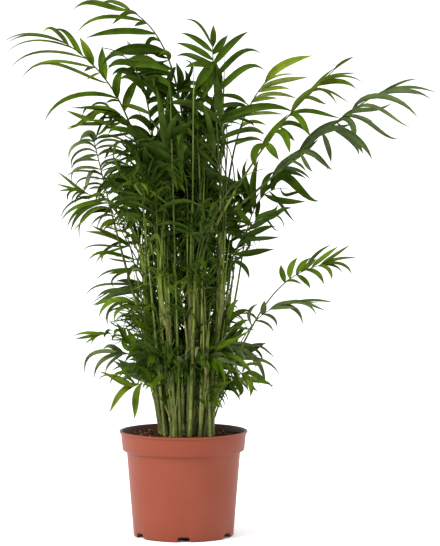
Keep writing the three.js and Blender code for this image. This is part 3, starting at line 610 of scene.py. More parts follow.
        (5.2, 283.5, 280, 281, 272, 281, 264), (6.2, 289, 277, 291, 267, 298, 257),
        (5.2, 296, 274, 300, 265, 311, 257.5), (4.2, 301, 272, 308, 266, 317, 258),
        (4, 306, 270, 318, 254, 333, 243.5), (3.8, 312, 267.5, 326, 256, 339, 245.5),
        (3.6, 320, 265, 335, 256, 351, 243.5), (2.8, 322, 264, 340, 259, 360, 258),
        (2.8, 330, 262, 345, 265, 352, 275), (1.5, 285, 280, 293, 281, 302, 284),
        (4.4, 297, 275, 305, 279, 310.5, 289), (4, 306, 271, 317, 274, 324, 285),
        (3.6, 318, 267, 328, 270, 332, 280), (2, 327, 266, 336, 267, 343, 273),
    ),
    18: (
        (6.4, 262, 314, 263, 307, 264.5, 300), (3.2, 271, 313, 285, 305, 300, 303, 320, 302),
        (2.2, 290, 305, 310, 301.5, 335, 302.5), (3.4, 285, 308, 300, 304, 315, 307, 327, 311),
        (2.4, 296, 305, 308, 306, 317, 316), (4.6, 282, 309, 295, 311, 303, 326),
        (4.2, 272, 312, 285, 309, 299, 308), (2.8, 264, 316, 274, 320, 277, 328),
        (2.6, 258, 323, 267, 325, 274, 333), (3.2, 257, 320, 248, 314, 238, 315),
        (2.6, 252, 326, 249, 310, 259, 303),
    ),
    19: (
        (4, 221, 340, 229, 330, 243, 329, 258, 330), (5, 226, 326, 232, 318, 240, 312, 252, 311),
        (5.5, 224, 331, 233, 328, 241, 322, 250, 320), (4.6, 221, 339, 230, 336, 237, 329, 243, 326),
        (4, 230, 320, 229, 311, 233, 303, 240, 299), (4.4, 219, 345, 212, 337, 209, 327, 211, 316),
    ),
    20: (
        (3.4, 243, 373.5, 251, 365, 258, 366, 264, 369.5), (4.6, 244, 373.5, 254, 375, 262, 380, 270, 385),
        (3.4, 244, 376, 255, 383, 266, 384.5, 276, 388), (3.8, 242, 376, 258, 383, 268, 384, 273, 394.5),
        (5.6, 245, 375, 250, 381, 252, 389, 249.5, 397.5), (2.2, 238, 377, 242, 384, 246, 388, 249, 393),
        (3.2, 231, 381, 234, 388, 238, 394, 239.5, 402), (6, 234, 380, 238, 385, 241, 391, 238, 397),
        (4.6, 243, 375, 246, 380, 252, 388, 259, 392), (6, 229, 383, 222, 379, 218, 371, 220, 362),
    ),
    22: (
        (6.5, 133, 67, 146, 64, 158, 66, 171, 73), (7, 139, 77, 150, 70, 162, 71, 174, 82),
        (7, 143, 86, 153, 78, 163, 80, 171, 92), (7, 146, 96, 154, 88, 162, 88, 169, 99),
        (6.5, 148, 104, 156, 98, 163, 99, 168, 110), (6.5, 150, 118, 157, 108, 163, 106, 169, 114),
        (6, 152, 130, 158, 119, 164, 116, 172, 124), (6, 128, 61, 140, 59, 150, 60, 160, 66),
        (6.5, 144, 91, 136, 81, 128, 77, 119, 81), (6.5, 140, 79, 130, 72, 121, 70, 112, 76),
        (6, 134, 68, 126, 63, 117, 63, 108, 70), (5, 124, 57, 117, 55, 110, 58, 103, 66),
        (6.5, 152, 131, 146, 122, 137, 117, 126, 122), (6, 153, 141, 145, 132, 135, 127, 124, 129),
        (6, 154, 149, 148, 138, 140, 134, 130, 138), (5.5, 154, 146, 160, 135, 166, 126, 168, 112),
        (5.5, 147, 99, 149, 91, 148, 82, 140, 74), (4, 142, 83, 144, 92, 148, 98, 148, 106),
    ),
    25: (
        (9.5, 272, 191, 284, 176, 299, 188, 320, 200.5), (3.8, 275, 190, 286, 169, 299, 171, 311, 180),
        (6, 272, 191, 282, 173, 294, 173, 307, 179), (5.8, 265, 195, 277, 200, 291, 201.5, 306, 201),
        (3.2, 270, 193, 280, 205, 288, 215, 296, 223), (2.7, 280, 189, 285, 196, 296, 193, 307, 194.5),
        (6.8, 256, 206, 253, 194, 253, 178, 259, 158), (5.6, 252, 213, 246, 195, 240, 179, 237, 166),
        (5.6, 254, 209, 248, 190, 243, 172, 249, 157), (5.4, 252, 214, 242, 201, 234, 190, 233, 176),
        (6, 261, 198, 263, 187, 266, 178, 276, 171), (4.8, 263, 196, 271, 186, 275, 182, 272, 175),
        (4.4, 259, 200, 258, 212, 255, 221),
    ),
    26: (
        (5.8, 224, 357, 233, 349, 243, 345.5, 255, 345), (8.5, 240, 361, 248, 355, 256, 348, 266.5, 343),
        (5.4, 226, 361, 246, 360, 264, 362, 281, 379), (1.8, 250, 356, 262, 351, 269, 354, 276, 358),
        (2.2, 245, 352, 257, 353, 261, 357, 263, 362), (3.8, 236, 360, 256, 361, 262, 371, 265.5, 385),
        (6.4, 231, 353, 234, 340, 240, 331, 249, 326), (5.6, 225, 358, 226, 346, 222, 336, 226, 327),
        (4, 222, 361, 230, 366, 236, 373, 237, 383),
    ),
}

# The same for the shaded leaflets behind them, which are of the darkest tone.
SHADED_LEAFLETS: dict[int, tuple[tuple[float, ...], ...]] = {
    1: (
        (8.5, 168, 51, 150, 48, 130, 48, 109, 54), (9, 175, 69, 150, 63, 125, 62, 106, 67),
        (7.5, 176, 73, 155, 70, 135, 68, 118, 73), (3.6, 146, 64, 138, 56, 130, 48, 127, 42),
        (4.6, 152, 65, 149, 57, 150, 50, 148, 42), (3, 141, 63, 130, 59, 120, 55, 110, 52),
        (8.5, 169, 88, 155, 80, 142, 75, 129, 75), (7.5, 171, 92, 157, 87, 145, 84, 132, 84),
        (6.5, 152, 99, 147, 91, 143, 83, 137, 75), (5.5, 159, 100, 154, 92, 150, 84, 147, 76),
        (7, 178, 90, 181, 79, 179, 70, 176, 62), (7, 180, 101, 186, 91, 188, 80, 184, 69),
        (8, 181, 108, 190, 99, 197, 89, 203, 80), (8, 182, 114, 192, 106, 203, 100, 214, 97),
        (4, 178, 92, 188, 76, 191, 65, 180, 60), (7, 183, 122, 175, 112, 169, 101, 166, 90),
        (6, 179, 97, 171, 92, 165, 85, 160, 79), (8, 184, 130, 195, 122, 206, 118, 217, 121),
        (7, 185, 138, 176, 130, 170, 121, 167, 110), (4, 165, 62, 142, 60, 133, 49, 125, 39),
    ),
    3: (
        (3.6, 122, 111, 108, 109.5, 94, 108.5, 72, 107.5), (4.2, 113, 128, 104, 129.5, 88, 127, 66, 128.5),
        (1.6, 111, 127, 106, 121.5, 101, 116), (3, 129, 135, 116, 137, 104, 138, 93, 139),
        (2, 105, 128, 101, 123, 99, 118), (2.2, 120, 136.5, 115, 132, 110, 129, 103, 130),
        (4.5, 124, 129, 124, 125, 121, 121, 116, 119), (1.6, 104, 129, 99, 134, 96, 139),
    ),
}


@dataclass(frozen=True)
class Rachis(Limb):
    """A frond's middle rib: a cubic curve that leaves its cane and arches to its end."""

    controls: np.ndarray
    aside: np.ndarray
    row: Frond

    def at(self, shares: np.ndarray) -> np.ndarray:
        """Its points at shares of the curve."""
        return cubic(self.controls, shares)

    def along(self, shares: np.ndarray) -> np.ndarray:
        """Its directions.

        Args:
            shares: how far along the curve they are.

        Returns:
            A direction for each share.
        """
        t = np.asarray(shares, float)[..., None]
        a, b, c, d = self.controls
        return unit((1 - t) ** 2 * (b - a) + 2 * t * (1 - t) * (c - b) + t * t * (d - c))

    def faces(self, shares: np.ndarray) -> tuple[np.ndarray, np.ndarray, np.ndarray]:
        """The three directions that its leaflets go by.

        Args:
            shares: how far along the curve they are.

        Returns:
            For each share, the directions along it, aside, and to its upper face.
        """
        along = self.along(shares)
        level = unit(self.aside - along * (along @ self.aside)[..., None])
        aside = turned(level, along, np.radians(self.row.roll) * np.asarray(shares, float))
        return along, aside, unit(np.cross(along, aside))

    def length(self) -> float:
        """Its length along the curve."""
        points = self.at(np.linspace(0, 1, 201))
        return float(np.linalg.norm(np.diff(points, axis=0), axis=1).sum())

    def radius(self, shares: np.ndarray) -> np.ndarray:
        """Its radius at shares of the curve."""
        return lerp(self.radii[0], self.radii[-1], np.asarray(shares, float))


@dataclass(frozen=True)
class RachisRule:
    """How a rachis leaves its cane, and which ways it tries until it is clear of the others."""

    base_radius: float = 3.2
    tip_radius: float = 1.4
    full_reach: float = 420.0
    least_scale: float = 0.6
    steps: int = 16
    foot_steps: int = 2
    foot_pull: float = 0.42
    tip_pull: float = 0.34
    test_margin: float = 0.8
    sway_step: float = 9.0
    sway_tries: int = 15
    foot_turns: tuple[float, ...] = (0, 28, -28, 56, -56)
    end_raises: tuple[float, ...] = (0, 15, -15, 30, -30)

    def rachis(self, row: Frond, cane: Cane, sway: float, foot_turn: float) -> Rachis:
        """One way that a frond's rachis may run.

        Args:
            row: the frond's row.
            cane: the cane it leaves.
            sway: how far its bow lies aside, in mm.
            foot_turn: how far its foot stands round the cane from straight out, in degrees.

        Returns:
            The rachis.
        """
        end = np.array(row.end, float)
        centre = cane.centre(row.node)
        outward = unit((end - centre) * (1, 1, 0))
        aside = np.cross(UP, outward)
        scale = clamp(np.linalg.norm(end - centre) / self.full_reach, self.least_scale, 1)
        near_corner = math.cos(math.radians(60 - abs(foot_turn)))
        foot_radius = self.base_radius * scale
        stand_off = cane.radius(row.node) + foot_radius * near_corner + CLEARANCE
        foot_out = turned(outward, UP, math.radians(foot_turn))
        start = centre + foot_out * stand_off
        chord = np.linalg.norm(end - start)
        leave, pitch = math.radians(row.leave), math.radians(row.pitch)
        footward = cane.direction() * math.cos(leave) + foot_out * math.sin(leave)
        tipward = outward * math.cos(pitch) + UP * math.sin(pitch)
        controls = np.array(
            [
                start,
                start + footward * self.foot_pull * chord + aside * sway,
                end - tipward * self.tip_pull * chord + aside * sway,
                end,
            ]
        )
        shares = np.linspace(0, 1, self.steps + 1)
        radii = lerp(foot_radius, self.tip_radius * scale, shares)
        return Rachis(cubic(controls, shares), radii, controls, aside, row)

    def ways(self, row: Frond, cane: Cane) -> Iterator[Rachis]:
        """Every way a frond's rachis may run.

        Args:
            row: the frond's row.
            cane: the cane it leaves.

        Yields:
            The ways, the one nearest the row first.
        """
        for lift in self.end_raises:
            raised = replace(row, end=(row.end[0], row.end[1], row.end[2] + lift))
            for k in range(self.sway_tries):
                sway = self.sway_step * math.ceil(k / 2) * (1 if k % 2 == 0 else -1)
                for foot_turn in self.foot_turns:
                    yield self.rachis(raised, cane, sway, foot_turn)

    def is_clear(self, rachis: Rachis, limbs: Sequence[Limb], own_cane: Limb) -> bool:
        """Whether a rachis keeps clear of limbs, past its first steps beside its own cane.

        Args:
            rachis: the rachis.
            limbs: the canes' limbs, then the rachises so far.
            own_cane: the one of them that it leaves.

        Returns:
            True if it is clear of them all.
        """
        starts = np.concatenate([limb.spine[:-1] for limb in limbs])
        ends = np.concatenate([limb.spine[1:] for limb in limbs])
        radii = np.concatenate([limb.radii[:-1] for limb in limbs])
        own = np.concatenate([np.full(len(limb.radii) - 1, limb is own_cane) for limb in limbs])
        reach = rachis.radii[:-1, None] + radii + CLEARANCE + self.test_margin
        gaps = segment_distances(rachis.spine[:-1], rachis.spine[1:], starts, ends)
        beside = own & (np.arange(self.steps)[:, None] < self.foot_steps)
        return not np.any((gaps < reach) & ~beside)

    def clear_rachis(self, row: Frond, canes: Sequence[Cane], limbs: Sequence[Limb]) -> Rachis:
        """The first way for a frond's rachis that is clear of the canes and earlier fronds.

        Args:
            row: the frond's row.
            canes: all canes.
            limbs: the canes' limbs, then the rachises so far.

        Returns:
            The rachis.
        """
        own_cane = limbs[row.cane - 1]
        for rachis in self.ways(row, canes[row.cane - 1]):
            if self.is_clear(rachis, limbs, own_cane):
                return rachis
        raise ValueError(f"no clear way for the frond at {row.end}")


def segment_distances(a: np.ndarray, b: np.ndarray, c: np.ndarray, d: np.ndarray) -> np.ndarray:
    """The distances between all segments of one row and all of another.

    Args:
        a: where the first row's segments start.
        b: where they end.
        c: where the second row's segments start.
        d: where they end.

    Returns:
        An array of distances, a row for each segment of the first.
    """
    u, v = (b - a)[:, None], (d - c)[None]
    w = a[:, None] - c[None]
    uu, uv, vv = (u * u).sum(-1), (u * v).sum(-1), (v * v).sum(-1)
    uw, vw = (u * w).sum(-1), (v * w).sum(-1)
    spread = uu * vv - uv * uv
    flat = spread <= 1e-9
    s = np.where(flat, 0, np.clip((uv * vw - vv * uw) / np.where(flat, 1, spread), 0, 1))
    t = np.clip((uv * s + vw) / vv, 0, 1)
    s = np.clip((uv * t - uw) / uu, 0, 1)
    return np.linalg.norm(w + u * s[..., None] - v * t[..., None], axis=-1)


@dataclass(frozen=True)
class FillRule:
    """The fronds that fill the crown towards its front and back."""

    count: int = 15
    low_node: float = 228.0
    level_step: float = 0.618
    sector: float = 62.0
    near_reach: float = 95.0
    far_reach: float = 225.0
    near_rise: float = 345.0
    far_rise: float = 215.0
    near_pitch: float = 74.0
    far_pitch: float = 0.0
    low_scale: float = 0.62
    roll_spread: float = 40.0
    lift: float = -12.0
    bare: float = 0.42
    leaflet: float = 140.0
    low_leaflet: float = 95.0
    top_height: float = 850.0
    leftmost: float = -85.0
    rightmost: float = 55.0
    broad_from: float = 520.0

    def rows(self, canes: Sequence[Cane], random: SeededRandom) -> list[Frond]:
        """The rows of these fronds, each on the cane that has fewest.

        Args:
            canes: all canes.
            random: the plant's numbers, of which each row takes two.

        Returns:
            The rows.
        """
        taken = [sum(r.cane == i + 1 for r in OUTLINE_FRONDS) for i in range(len(canes))]
        rows = []
        for j in range(self.count):
            fewest = min(taken)
            tallest = [cane.top if taken[i] == fewest else -1 for i, cane in enumerate(canes)]
            chosen = tallest.index(max(tallest))
            node = lerp(self.low_node, canes[chosen].top, math.fmod(j * self.level_step, 1))
            taken[chosen] += 1
            rows.append(self._row(j, chosen, node, canes[chosen], random))
        return rows

    def _row(self, j: int, chosen: int, node: float, cane: Cane, random: SeededRandom) -> Frond:
        """The row of one of these fronds.

        Args:
            j: its number, from 0.
            chosen: the place of its cane among the canes.
            node: the height where it leaves it.
            cane: that cane.
            random: the plant's numbers, of which it takes two.

        Returns:
            The row.
        """
        side = -90 if j % 2 == 0 else 90
        stray = math.fmod(j * GOLDEN_ANGLE / 180, 2) - 1
        bearing = math.radians(side + self.sector * stray)
        far = random()
        reach = lerp(self.near_reach, self.far_reach, far)
        rise = lerp(self.near_rise, self.far_rise, far)
        height = clamp((node - CLUMP_BASE) / Clump.inner_height, 0, 1)
        scale = lerp(self.low_scale, 1, height)
        start = cane.centre(node)
        end_x = start[0] + scale * reach * math.cos(bearing)
        end = (
            clamp(end_x, self.leftmost, self.rightmost),
            start[1] + scale * reach * math.sin(bearing),
            min(node + scale * rise, self.top_height),
        )
        return Frond(
            cane=chosen + 1,
            node=node,
            end=end,
            pitch=lerp(self.near_pitch, self.far_pitch, far),
            roll=self.roll_spread * (random() - 0.5),
            lift=self.lift,
            bare=self.bare,
            leaflet=lerp(self.low_leaflet, self.leaflet, height),
            tone=Tone.DEEP if j % 3 else Tone.FRESH,
            habit=BROAD if node > self.broad_from else FINE,
        )


# The inner fronds' tones. The deep tone among them is partly painted shade for the inside of the crown.
DARK = (Tone.DEEP,)
MIXED = (Tone.DEEP, Tone.FRESH, Tone.DEEP)
GREYED = (Tone.DEEP, Tone.FRESH, Tone.DEEP, Tone.SILVERY)
PALE = (Tone.FRESH, Tone.SILVERY, Tone.DEEP)


@dataclass(frozen=True)
class InnerRule:
    """Fronds among the canes and shoots, which are too fine and too many for the solids."""

    count: int
    stem_step: int
    nodes: tuple[float, float]
    ends: tuple[float, float]
    reaches: tuple[float, float]
    leaflets: tuple[float, float]
    bare: float
    tones: tuple[Tone, ...]
    habit: Habit
    level_step: float = 0.382
    far_drop: float = 0.35
    below_top: float = 10.0
    bearing_scatter: float = 25.0
    end_levels: tuple[float, float] = (0.7, 0.3)
    pitches: tuple[float, float] = (60.0, -15.0)
    roll_scatter: float = 25.0
    lift: float = -14.0
    leftmost: float = -105.0
    rightmost: float = 62.0

    def rows(self, stems: dict[int, Cane], random: np.random.Generator) -> list[Frond]:
        """The rows of these fronds, dealt out to some stems and all ways round.

        Args:
            stems: the stems that they may leave, by number.
            random: the source of their differences.

        Returns:
            The rows.
        """
        numbers, rows = list(stems), []
        own_level, stray_level = self.end_levels
        for j in range(self.count):
            number = numbers[(j * self.stem_step) % len(numbers)]
            stem = stems[number]
            level = math.fmod(j * self.level_step, 1)
            node = min(lerp(*self.nodes, level), stem.top - self.below_top)
            stray = random.uniform(-self.bearing_scatter, self.bearing_scatter)
            bearing = math.radians(j * GOLDEN_ANGLE + stray)
            far = random.uniform(0, 1)
            reach = lerp(*self.reaches, far)
            end_level = own_level * level + random.uniform(0, stray_level)
            start = stem.centre(node)
            rise = (lerp(*self.ends, end_level) - node) * (1 - self.far_drop * far)
            end = (
                clamp(start[0] + reach * math.cos(bearing), self.leftmost, self.rightmost),
                start[1] + reach * math.sin(bearing),
                node + rise,
            )
            rows.append(
                Frond(
                    cane=number,
                    node=node,
                    end=end,
                    pitch=lerp(*self.pitches, far),
                    roll=random.uniform(-self.roll_scatter, self.roll_scatter),
                    lift=self.lift,
                    bare=self.bare,
                    leaflet=lerp(*self.leaflets, level),
                    tone=self.tones[j % len(self.tones)],
                    habit=self.habit,
                )
            )
        return rows


FRONT_LEAVES = InnerRule(16, 3, (230, 380), (620, 850), (10, 60), (80, 105), 0.8, MIXED, SCANT)
FOOT_LEAVES = InnerRule(34, 3, (198, 270), (285, 400), (30, 85), (60, 88), 0.5, GREYED, LOOSE)
LOW_LEAVES = InnerRule(22, 5, (206, 420), (330, 600), (35, 100), (72, 96), 0.5, MIXED, FINE)
TOP_LEAVES = InnerRule(34, 9, (250, 560), (690, 870), (20, 95), (105, 130), 0.6, DARK, BROAD)
SHOOT_LEAVES = InnerRule(26, 3, (220, 430), (400, 700), (25, 85), (60, 86), 0.66, PALE, FINE)
SCREEN_LEAVES = InnerRule(14, 3, (212, 310), (370, 560), (25, 75), (72, 92), 0.5, MIXED, FINE)
LEFT_LEAVES = InnerRule(
    12, 3, (260, 460), (540, 780), (60, 130), (72, 94), 0.55, MIXED, FINE, leftmost=-135, rightmost=-60
)
RIGHT_LEAVES = InnerRule(
    13, 2, (260, 440), (590, 690), (60, 120), (76, 96), 0.6, DARK, FINE, leftmost=58, rightmost=130
)


# ---- Meshes ----------------------------------------------------------------------------------


def deselect_all() -> None:
    """Leaves edit mode and selects nothing."""
    if bpy.context.mode != "OBJECT":
        bpy.ops.object.mode_set(mode="OBJECT")
    bpy.ops.object.select_all(action="DESELECT")


def select_only(piece: bpy.types.Object) -> None:
    """Makes a piece the active and only selected one.

    Args:
        piece: the piece.
    """
    deselect_all()
    piece.select_set(True)
    bpy.context.view_layer.objects.active = piece


def apply_modifier(piece: bpy.types.Object, kind: str, **settings: Any) -> None:
    """Adds a modifier to a piece and applies it.

    Args:
        piece: the piece.
        kind: the modifier's type.
        settings: its settings, by name.
    """
    select_only(piece)
    modifier = piece.modifiers.new(kind.title(), kind)
    for name, value in settings.items():
        setattr(modifier, name, value)
    bpy.ops.object.modifier_apply(modifier=modifier.name)


def finish(
    piece: bpy.types.Object,
    name: str,
    finishes: Sequence[bpy.types.Material],
    crease: float | None = None,
) -> None:
    """Names a piece, dresses it and lets it ride on the plant's body.

    Args:
        piece: the piece.
        name: its name.
        finishes: its materials, one for each of its mesh's slots.
        crease: the angle in degrees past which an edge stays sharp, on a smooth piece.
    """
    piece.name = name
    piece.data.name = name
    for material in finishes:
        piece.data.materials.append(material)
    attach(piece, "root")
    if crease is not None:
        select_only(piece)
        bpy.ops.object.shade_smooth_by_angle(angle=math.radians(crease))
        deselect_all()
    faces = len(piece.data.polygons)
    log.info("%s: %d faces, %s", name, faces, ", ".join(m.name for m in finishes))


@dataclass
class MeshParts:
    """Points and faces of many small parts, gathered to be joined as one mesh."""

    points: list[np.ndarray] = field(default_factory=list)
    faces: list[np.ndarray] = field(default_factory=list)
    slots: list[np.ndarray] = field(default_factory=list)
    uvs: list[np.ndarray] = field(default_factory=list)
    scars: list[np.ndarray] = field(default_factory=list)
    count: int = 0

    def add(
        self,
        points: np.ndarray,
        faces: Sequence[np.ndarray],
        slots: Sequence[int],
        uvs: np.ndarray | None = None,
    ) -> None:
        """Adds a part.

        Args:
            points: its points in mm.
            faces: arrays of its faces, each array's of one number of corners.
            slots: the material slot of each of those arrays.
            uvs: a pair of texture coordinates for each point, if its piece has them.
        """
        self.points.append(points.reshape(-1, 3))
        if uvs is not None:
            self.uvs.append(uvs)
        for block, slot in zip(faces, slots):
            self.faces.append(block + self.count)
            self.slots.append(np.full(len(block), slot))
        self.count += len(self.points[-1])

    def piece(self) -> bpy.types.Object:
        """Joins the parts.

        Returns:
            They as one new object, in metres.
        """
        mesh = bpy.data.meshes.new("parts")
        points = np.concatenate(self.points) * MM
        sizes = np.concatenate([np.full(len(block), block.shape[1]) for block in self.faces])
        corners = np.concatenate([block.ravel() for block in self.faces])
        mesh.vertices.add(len(points))
        mesh.vertices.foreach_set("co", points.astype(np.float32).ravel())
        mesh.loops.add(len(corners))
        mesh.loops.foreach_set("vertex_index", corners.astype(np.int32))
        mesh.polygons.add(len(sizes))
        starts = np.concatenate([[0], np.cumsum(sizes)[:-1]])
        mesh.polygons.foreach_set("loop_start", starts.astype(np.int32))
        mesh.polygons.foreach_set("material_index", np.concatenate(self.slots).astype(np.int32))
        mesh.update(calc_edges=True)
        if self.uvs:
            places = np.concatenate(self.uvs)[corners]
            layer = mesh.uv_layers.new(name="blade")
            layer.uv.foreach_set("vector", places.astype(np.float32).ravel())
        mesh.validate()
        if self.scars:
            marks = mesh.attributes.new("scar", "FLOAT", "POINT")
            marks.data.foreach_set("value", np.concatenate(self.scars).astype(np.float32))
        piece = bpy.data.objects.new("parts", mesh)
        bpy.context.scene.collection.objects.link(piece)
        return piece


def tube_faces(rings: int, sides: int) -> list[np.ndarray]:
    """The faces of a closed tube of rings of points: its walls, then its two ends.

    Args:
        rings: how many rings it has.
        sides: how many points each has, that turn left as seen from the tube's end.

    Returns:
        The quads of the wall, and the two ends.
    """
    k, i = np.meshgrid(np.arange(rings - 1), np.arange(sides), indexing="ij")
    after = (i + 1) % sides
    wall = np.stack([k, k, k + 1, k + 1], -1) * sides + np.stack([i, after, after, i], -1)
    around = np.arange(sides)
    ends = np.stack([around[::-1], around + (rings - 1) * sides])
    return [wall.reshape(-1, 4), ends]


def tube_points(
    spine: np.ndarray,
    radii: np.ndarray,
    sides: int,
    aside: np.ndarray = EAST,
    upper: np.ndarray = NORTH,
) -> np.ndarray:
    """The rings of points of a tube.

    Args:
        spine: its middle points.
        radii: its radius at each.
        sides: how many points a ring has.
        aside: a direction square to the spine, or one at each of its points.
        upper: the other such direction.

    Returns:
        The points, ring by ring.
    """
    angles = (np.arange(sides) * 2 * math.pi / sides)[:, None]
    aside, upper = (np.broadcast_to(way, spine.shape)[:, None] for way in (aside, upper))
    ring = np.cos(angles) * aside + np.sin(angles) * upper
    return spine[:, None] + ring * radii[:, None, None]


# ---- Materials -------------------------------------------------------------------------------


class Value:
    """A socket that gives numbers, on which arithmetic adds its Math nodes."""

    def __init__(self, paint: Paint, socket: bpy.types.NodeSocket) -> None:
        """Wraps a socket of a paint's node tree."""
        self.paint = paint
        self.socket = socket

    def _math(self, operation: str, first: Any, second: Any) -> Value:
        """A Math node.

        Args:
            operation: what it does.
            first: the value or number it does it to.
            second: the other one.

        Returns:
            Its result.
        """
        values = {0: first, 1: second}
        node = self.paint.node("ShaderNodeMath", {"operation": operation}, values)
        return Value(self.paint, node.outputs[0])

    def __add__(self, other: Any) -> Value:
        """This plus other."""
        return self._math("ADD", self, other)

    def __radd__(self, other: Any) -> Value:
        """Other plus this."""
        return self._math("ADD", other, self)

    def __mul__(self, other: Any) -> Value:
        """This times other."""
        return self._math("MULTIPLY", self, other)

    def __rmul__(self, other: Any) -> Value:
        """Other times this."""
        return self._math("MULTIPLY", other, self)


class Paint:
    """A material's node tree, with short calls for the nodes that these finishes use."""

    def __init__(self, name: str) -> None:
        """Starts a material that has a shader and an output.

        Args:
            name: the material's name.
        """
        self.material = bpy.data.materials.new(name)
        self.material.use_nodes = True
        self.tree = self.material.node_tree
        self.tree.nodes.clear()
        self.shader = self.node("ShaderNodeBsdfPrincipled", {}, {})
        output = self.node("ShaderNodeOutputMaterial", {}, {})
        self.tree.links.new(self.shader.outputs[0], output.inputs["Surface"])

    def node(
        self,
        kind: str,
        settings: dict[str, Any],
        values: dict[str | int, Any],
    ) -> bpy.types.ShaderNode:
        """A new node.

        Args:
            kind: its type.
            settings: what is set on the node itself.
            values: for its sockets, numbers, colours or other nodes' sockets.

        Returns:
            The node.
        """
        node = self.tree.nodes.new(kind)
        for name, value in settings.items():
            setattr(node, name, value)
        for name, value in values.items():
            self.feed(node.inputs[name], value)
        return node

    def feed(self, socket: bpy.types.NodeSocket, value: Any) -> None:
        """Gives a socket what it shows.

        Args:
            socket: the socket.
            value: a number or colour that it is set to, or another socket, linked to it.
        """
        if isinstance(value, Value):
            self.tree.links.new(value.socket, socket)
        elif isinstance(value, bpy.types.NodeSocket):
            self.tree.links.new(value, socket)
        elif isinstance(value, tuple) and socket.type == "RGBA":
            socket.default_value = (*value, 1.0)
        else:
            socket.default_value = value

    def _noise(self, places: Any, stretch: Colour, scale: float, detail: float) -> Value:
        """Noise in some coordinates.

        Args:
            places: the socket that gives the coordinates.
            stretch: what they are multiplied by on each axis.
            scale: how fine the noise is.
            detail: how many finer layers it has.

        Returns:
            Values from 0 to 1.
        """
        mapping = self.node("ShaderNodeMapping", {}, {"Vector": places, "Scale": stretch})
        values = {"Vector": mapping.outputs[0], "Scale": scale, "Detail": detail}
        return Value(self, self.node("ShaderNodeTexNoise", {}, values).outputs[0])

    def veins(self, across: float) -> Value:
        """Noise from 0 to 1 in lines along a leaflet's blade, so many across each half."""
        blade = self.node("ShaderNodeUVMap", {"uv_map": "blade"}, {}).outputs[0]
        return self._noise(blade, (across, 0.5, 1.0), 1.0, 2.0)

    def noise(self, size: float, detail: float, stretch: Colour = (1, 1, 1)) -> Value:
        """Noise from 0 to 1 whose patches are about a size in mm, stretched by axis."""
        places = self.node("ShaderNodeTexCoord", {}, {}).outputs["Object"]
        return self._noise(places, stretch, 1000 / size, detail)

    def attribute(self, name: str) -> Value:
        """A number that the mesh holds at each point."""
        node = self.node("ShaderNodeAttribute", {"attribute_name": name}, {})
        return Value(self, node.outputs["Fac"])

    def steepen(self, value: Value, low: float, high: float) -> Value:
        """A value spread from 0 at low to 1 at high."""
        values = {"Value": value, "From Min": low, "From Max": high}
        return Value(self, self.node("ShaderNodeMapRange", {}, values).outputs[0])

    def blend(self, share: Value, first: Any, second: Any) -> bpy.types.NodeSocket:
        """A colour between two, by a share."""
        values = {0: share, 6: first, 7: second}
        return self.node("ShaderNodeMix", {"data_type": "RGBA"}, values).outputs[2]

    def bump(self, height: Value, distance: float, strength: float = 1.0) -> bpy.types.NodeSocket:
        """A normal from heights from 0 to 1, a distance in mm apart."""
        values = {"Height": height, "Distance": distance * MM, "Strength": strength}
        return self.node("ShaderNodeBump", {}, values).outputs[0]

    def dress(self, **values: Any) -> bpy.types.Material:
        """Feeds the shader's sockets.

        Args:
            values: what each takes, by its name with _ for each space.

        Returns:
            The material.
        """
        for name, value in values.items():
            socket = name.replace("_", " ").title().replace("Ior", "IOR")
            self.feed(self.shader.inputs[socket], value)
        return self.material


@dataclass(frozen=True)
class MouldedPlastic:
    """Terracotta-coloured nursery plastic: smooth, with a soft gloss and faint scuffs."""

    name: str = "terracotta_plastic"
    colour: Colour = (0.182, 0.034, 0.013)
    dusty: Colour = (0.22, 0.062, 0.038)
    gloss: float = 0.42

    def material(self) -> bpy.types.Material:
        """Mixes the finish.

        Returns:
            Its material.
        """
        paint = Paint(self.name)
        cloud = paint.noise(70, 3)
        scuffs = paint.steepen(paint.noise(9, 6, (1, 1, 0.35)), 0.58, 0.78)
        grain = paint.noise(0.9, 2)
        colour = paint.blend(paint.steepen(cloud, 0.35, 0.75) * 0.3, self.colour, self.dusty)
        colour = paint.blend(scuffs * 0.22, colour, self.dusty)
        return paint.dress(
            base_color=colour,
            roughness=self.gloss + cloud * 0.12 + scuffs * 0.12,
            normal=paint.bump(grain, 0.03, 0.5),
            specular_ior_level=0.24,
        )


@dataclass(frozen=True)
class PottingMix:
    """Dark moist peat, with lighter fibres."""

    dark: Colour = (0.016, 0.005, 0.0015)
    light: Colour = (0.105, 0.036, 0.014)

    def material(self) -> bpy.types.Material:
        """Mixes the finish.

        Returns:
            Its material.
        """
        paint = Paint("potting_mix")
        lumps = paint.noise(5, 8)
        fibres = paint.noise(1.4, 5)
        shade = paint.steepen(lumps * 0.6 + fibres * 0.4, 0.4, 0.66)
        return paint.dress(
            base_color=paint.blend(shade, self.dark, self.light),
            roughness=0.82 + fibres * 0.15,
            normal=paint.bump(fibres + lumps, 1.4),
            specular_ior_level=0.05,
        )


@dataclass(frozen=True)
class Grain:
    """A plain mineral or bark grain in the potting mix."""

    name: str
    dark: Colour
    light: Colour

    def material(self) -> bpy.types.Material:
        """Mixes the finish.

        Returns:
            Its material.
        """
        paint = Paint(self.name)
        mottle = paint.noise(2, 4)
        return paint.dress(
            base_color=paint.blend(paint.steepen(mottle, 0.35, 0.65), self.dark, self.light),
            roughness=0.9,
            normal=paint.bump(mottle, 0.5),
        )


BARK = Grain("bark", (0.05, 0.022, 0.01), (0.17, 0.09, 0.045))
PALE_GRAIN = Grain("pale_grain", (0.32, 0.27, 0.2), (0.6, 0.55, 0.46))


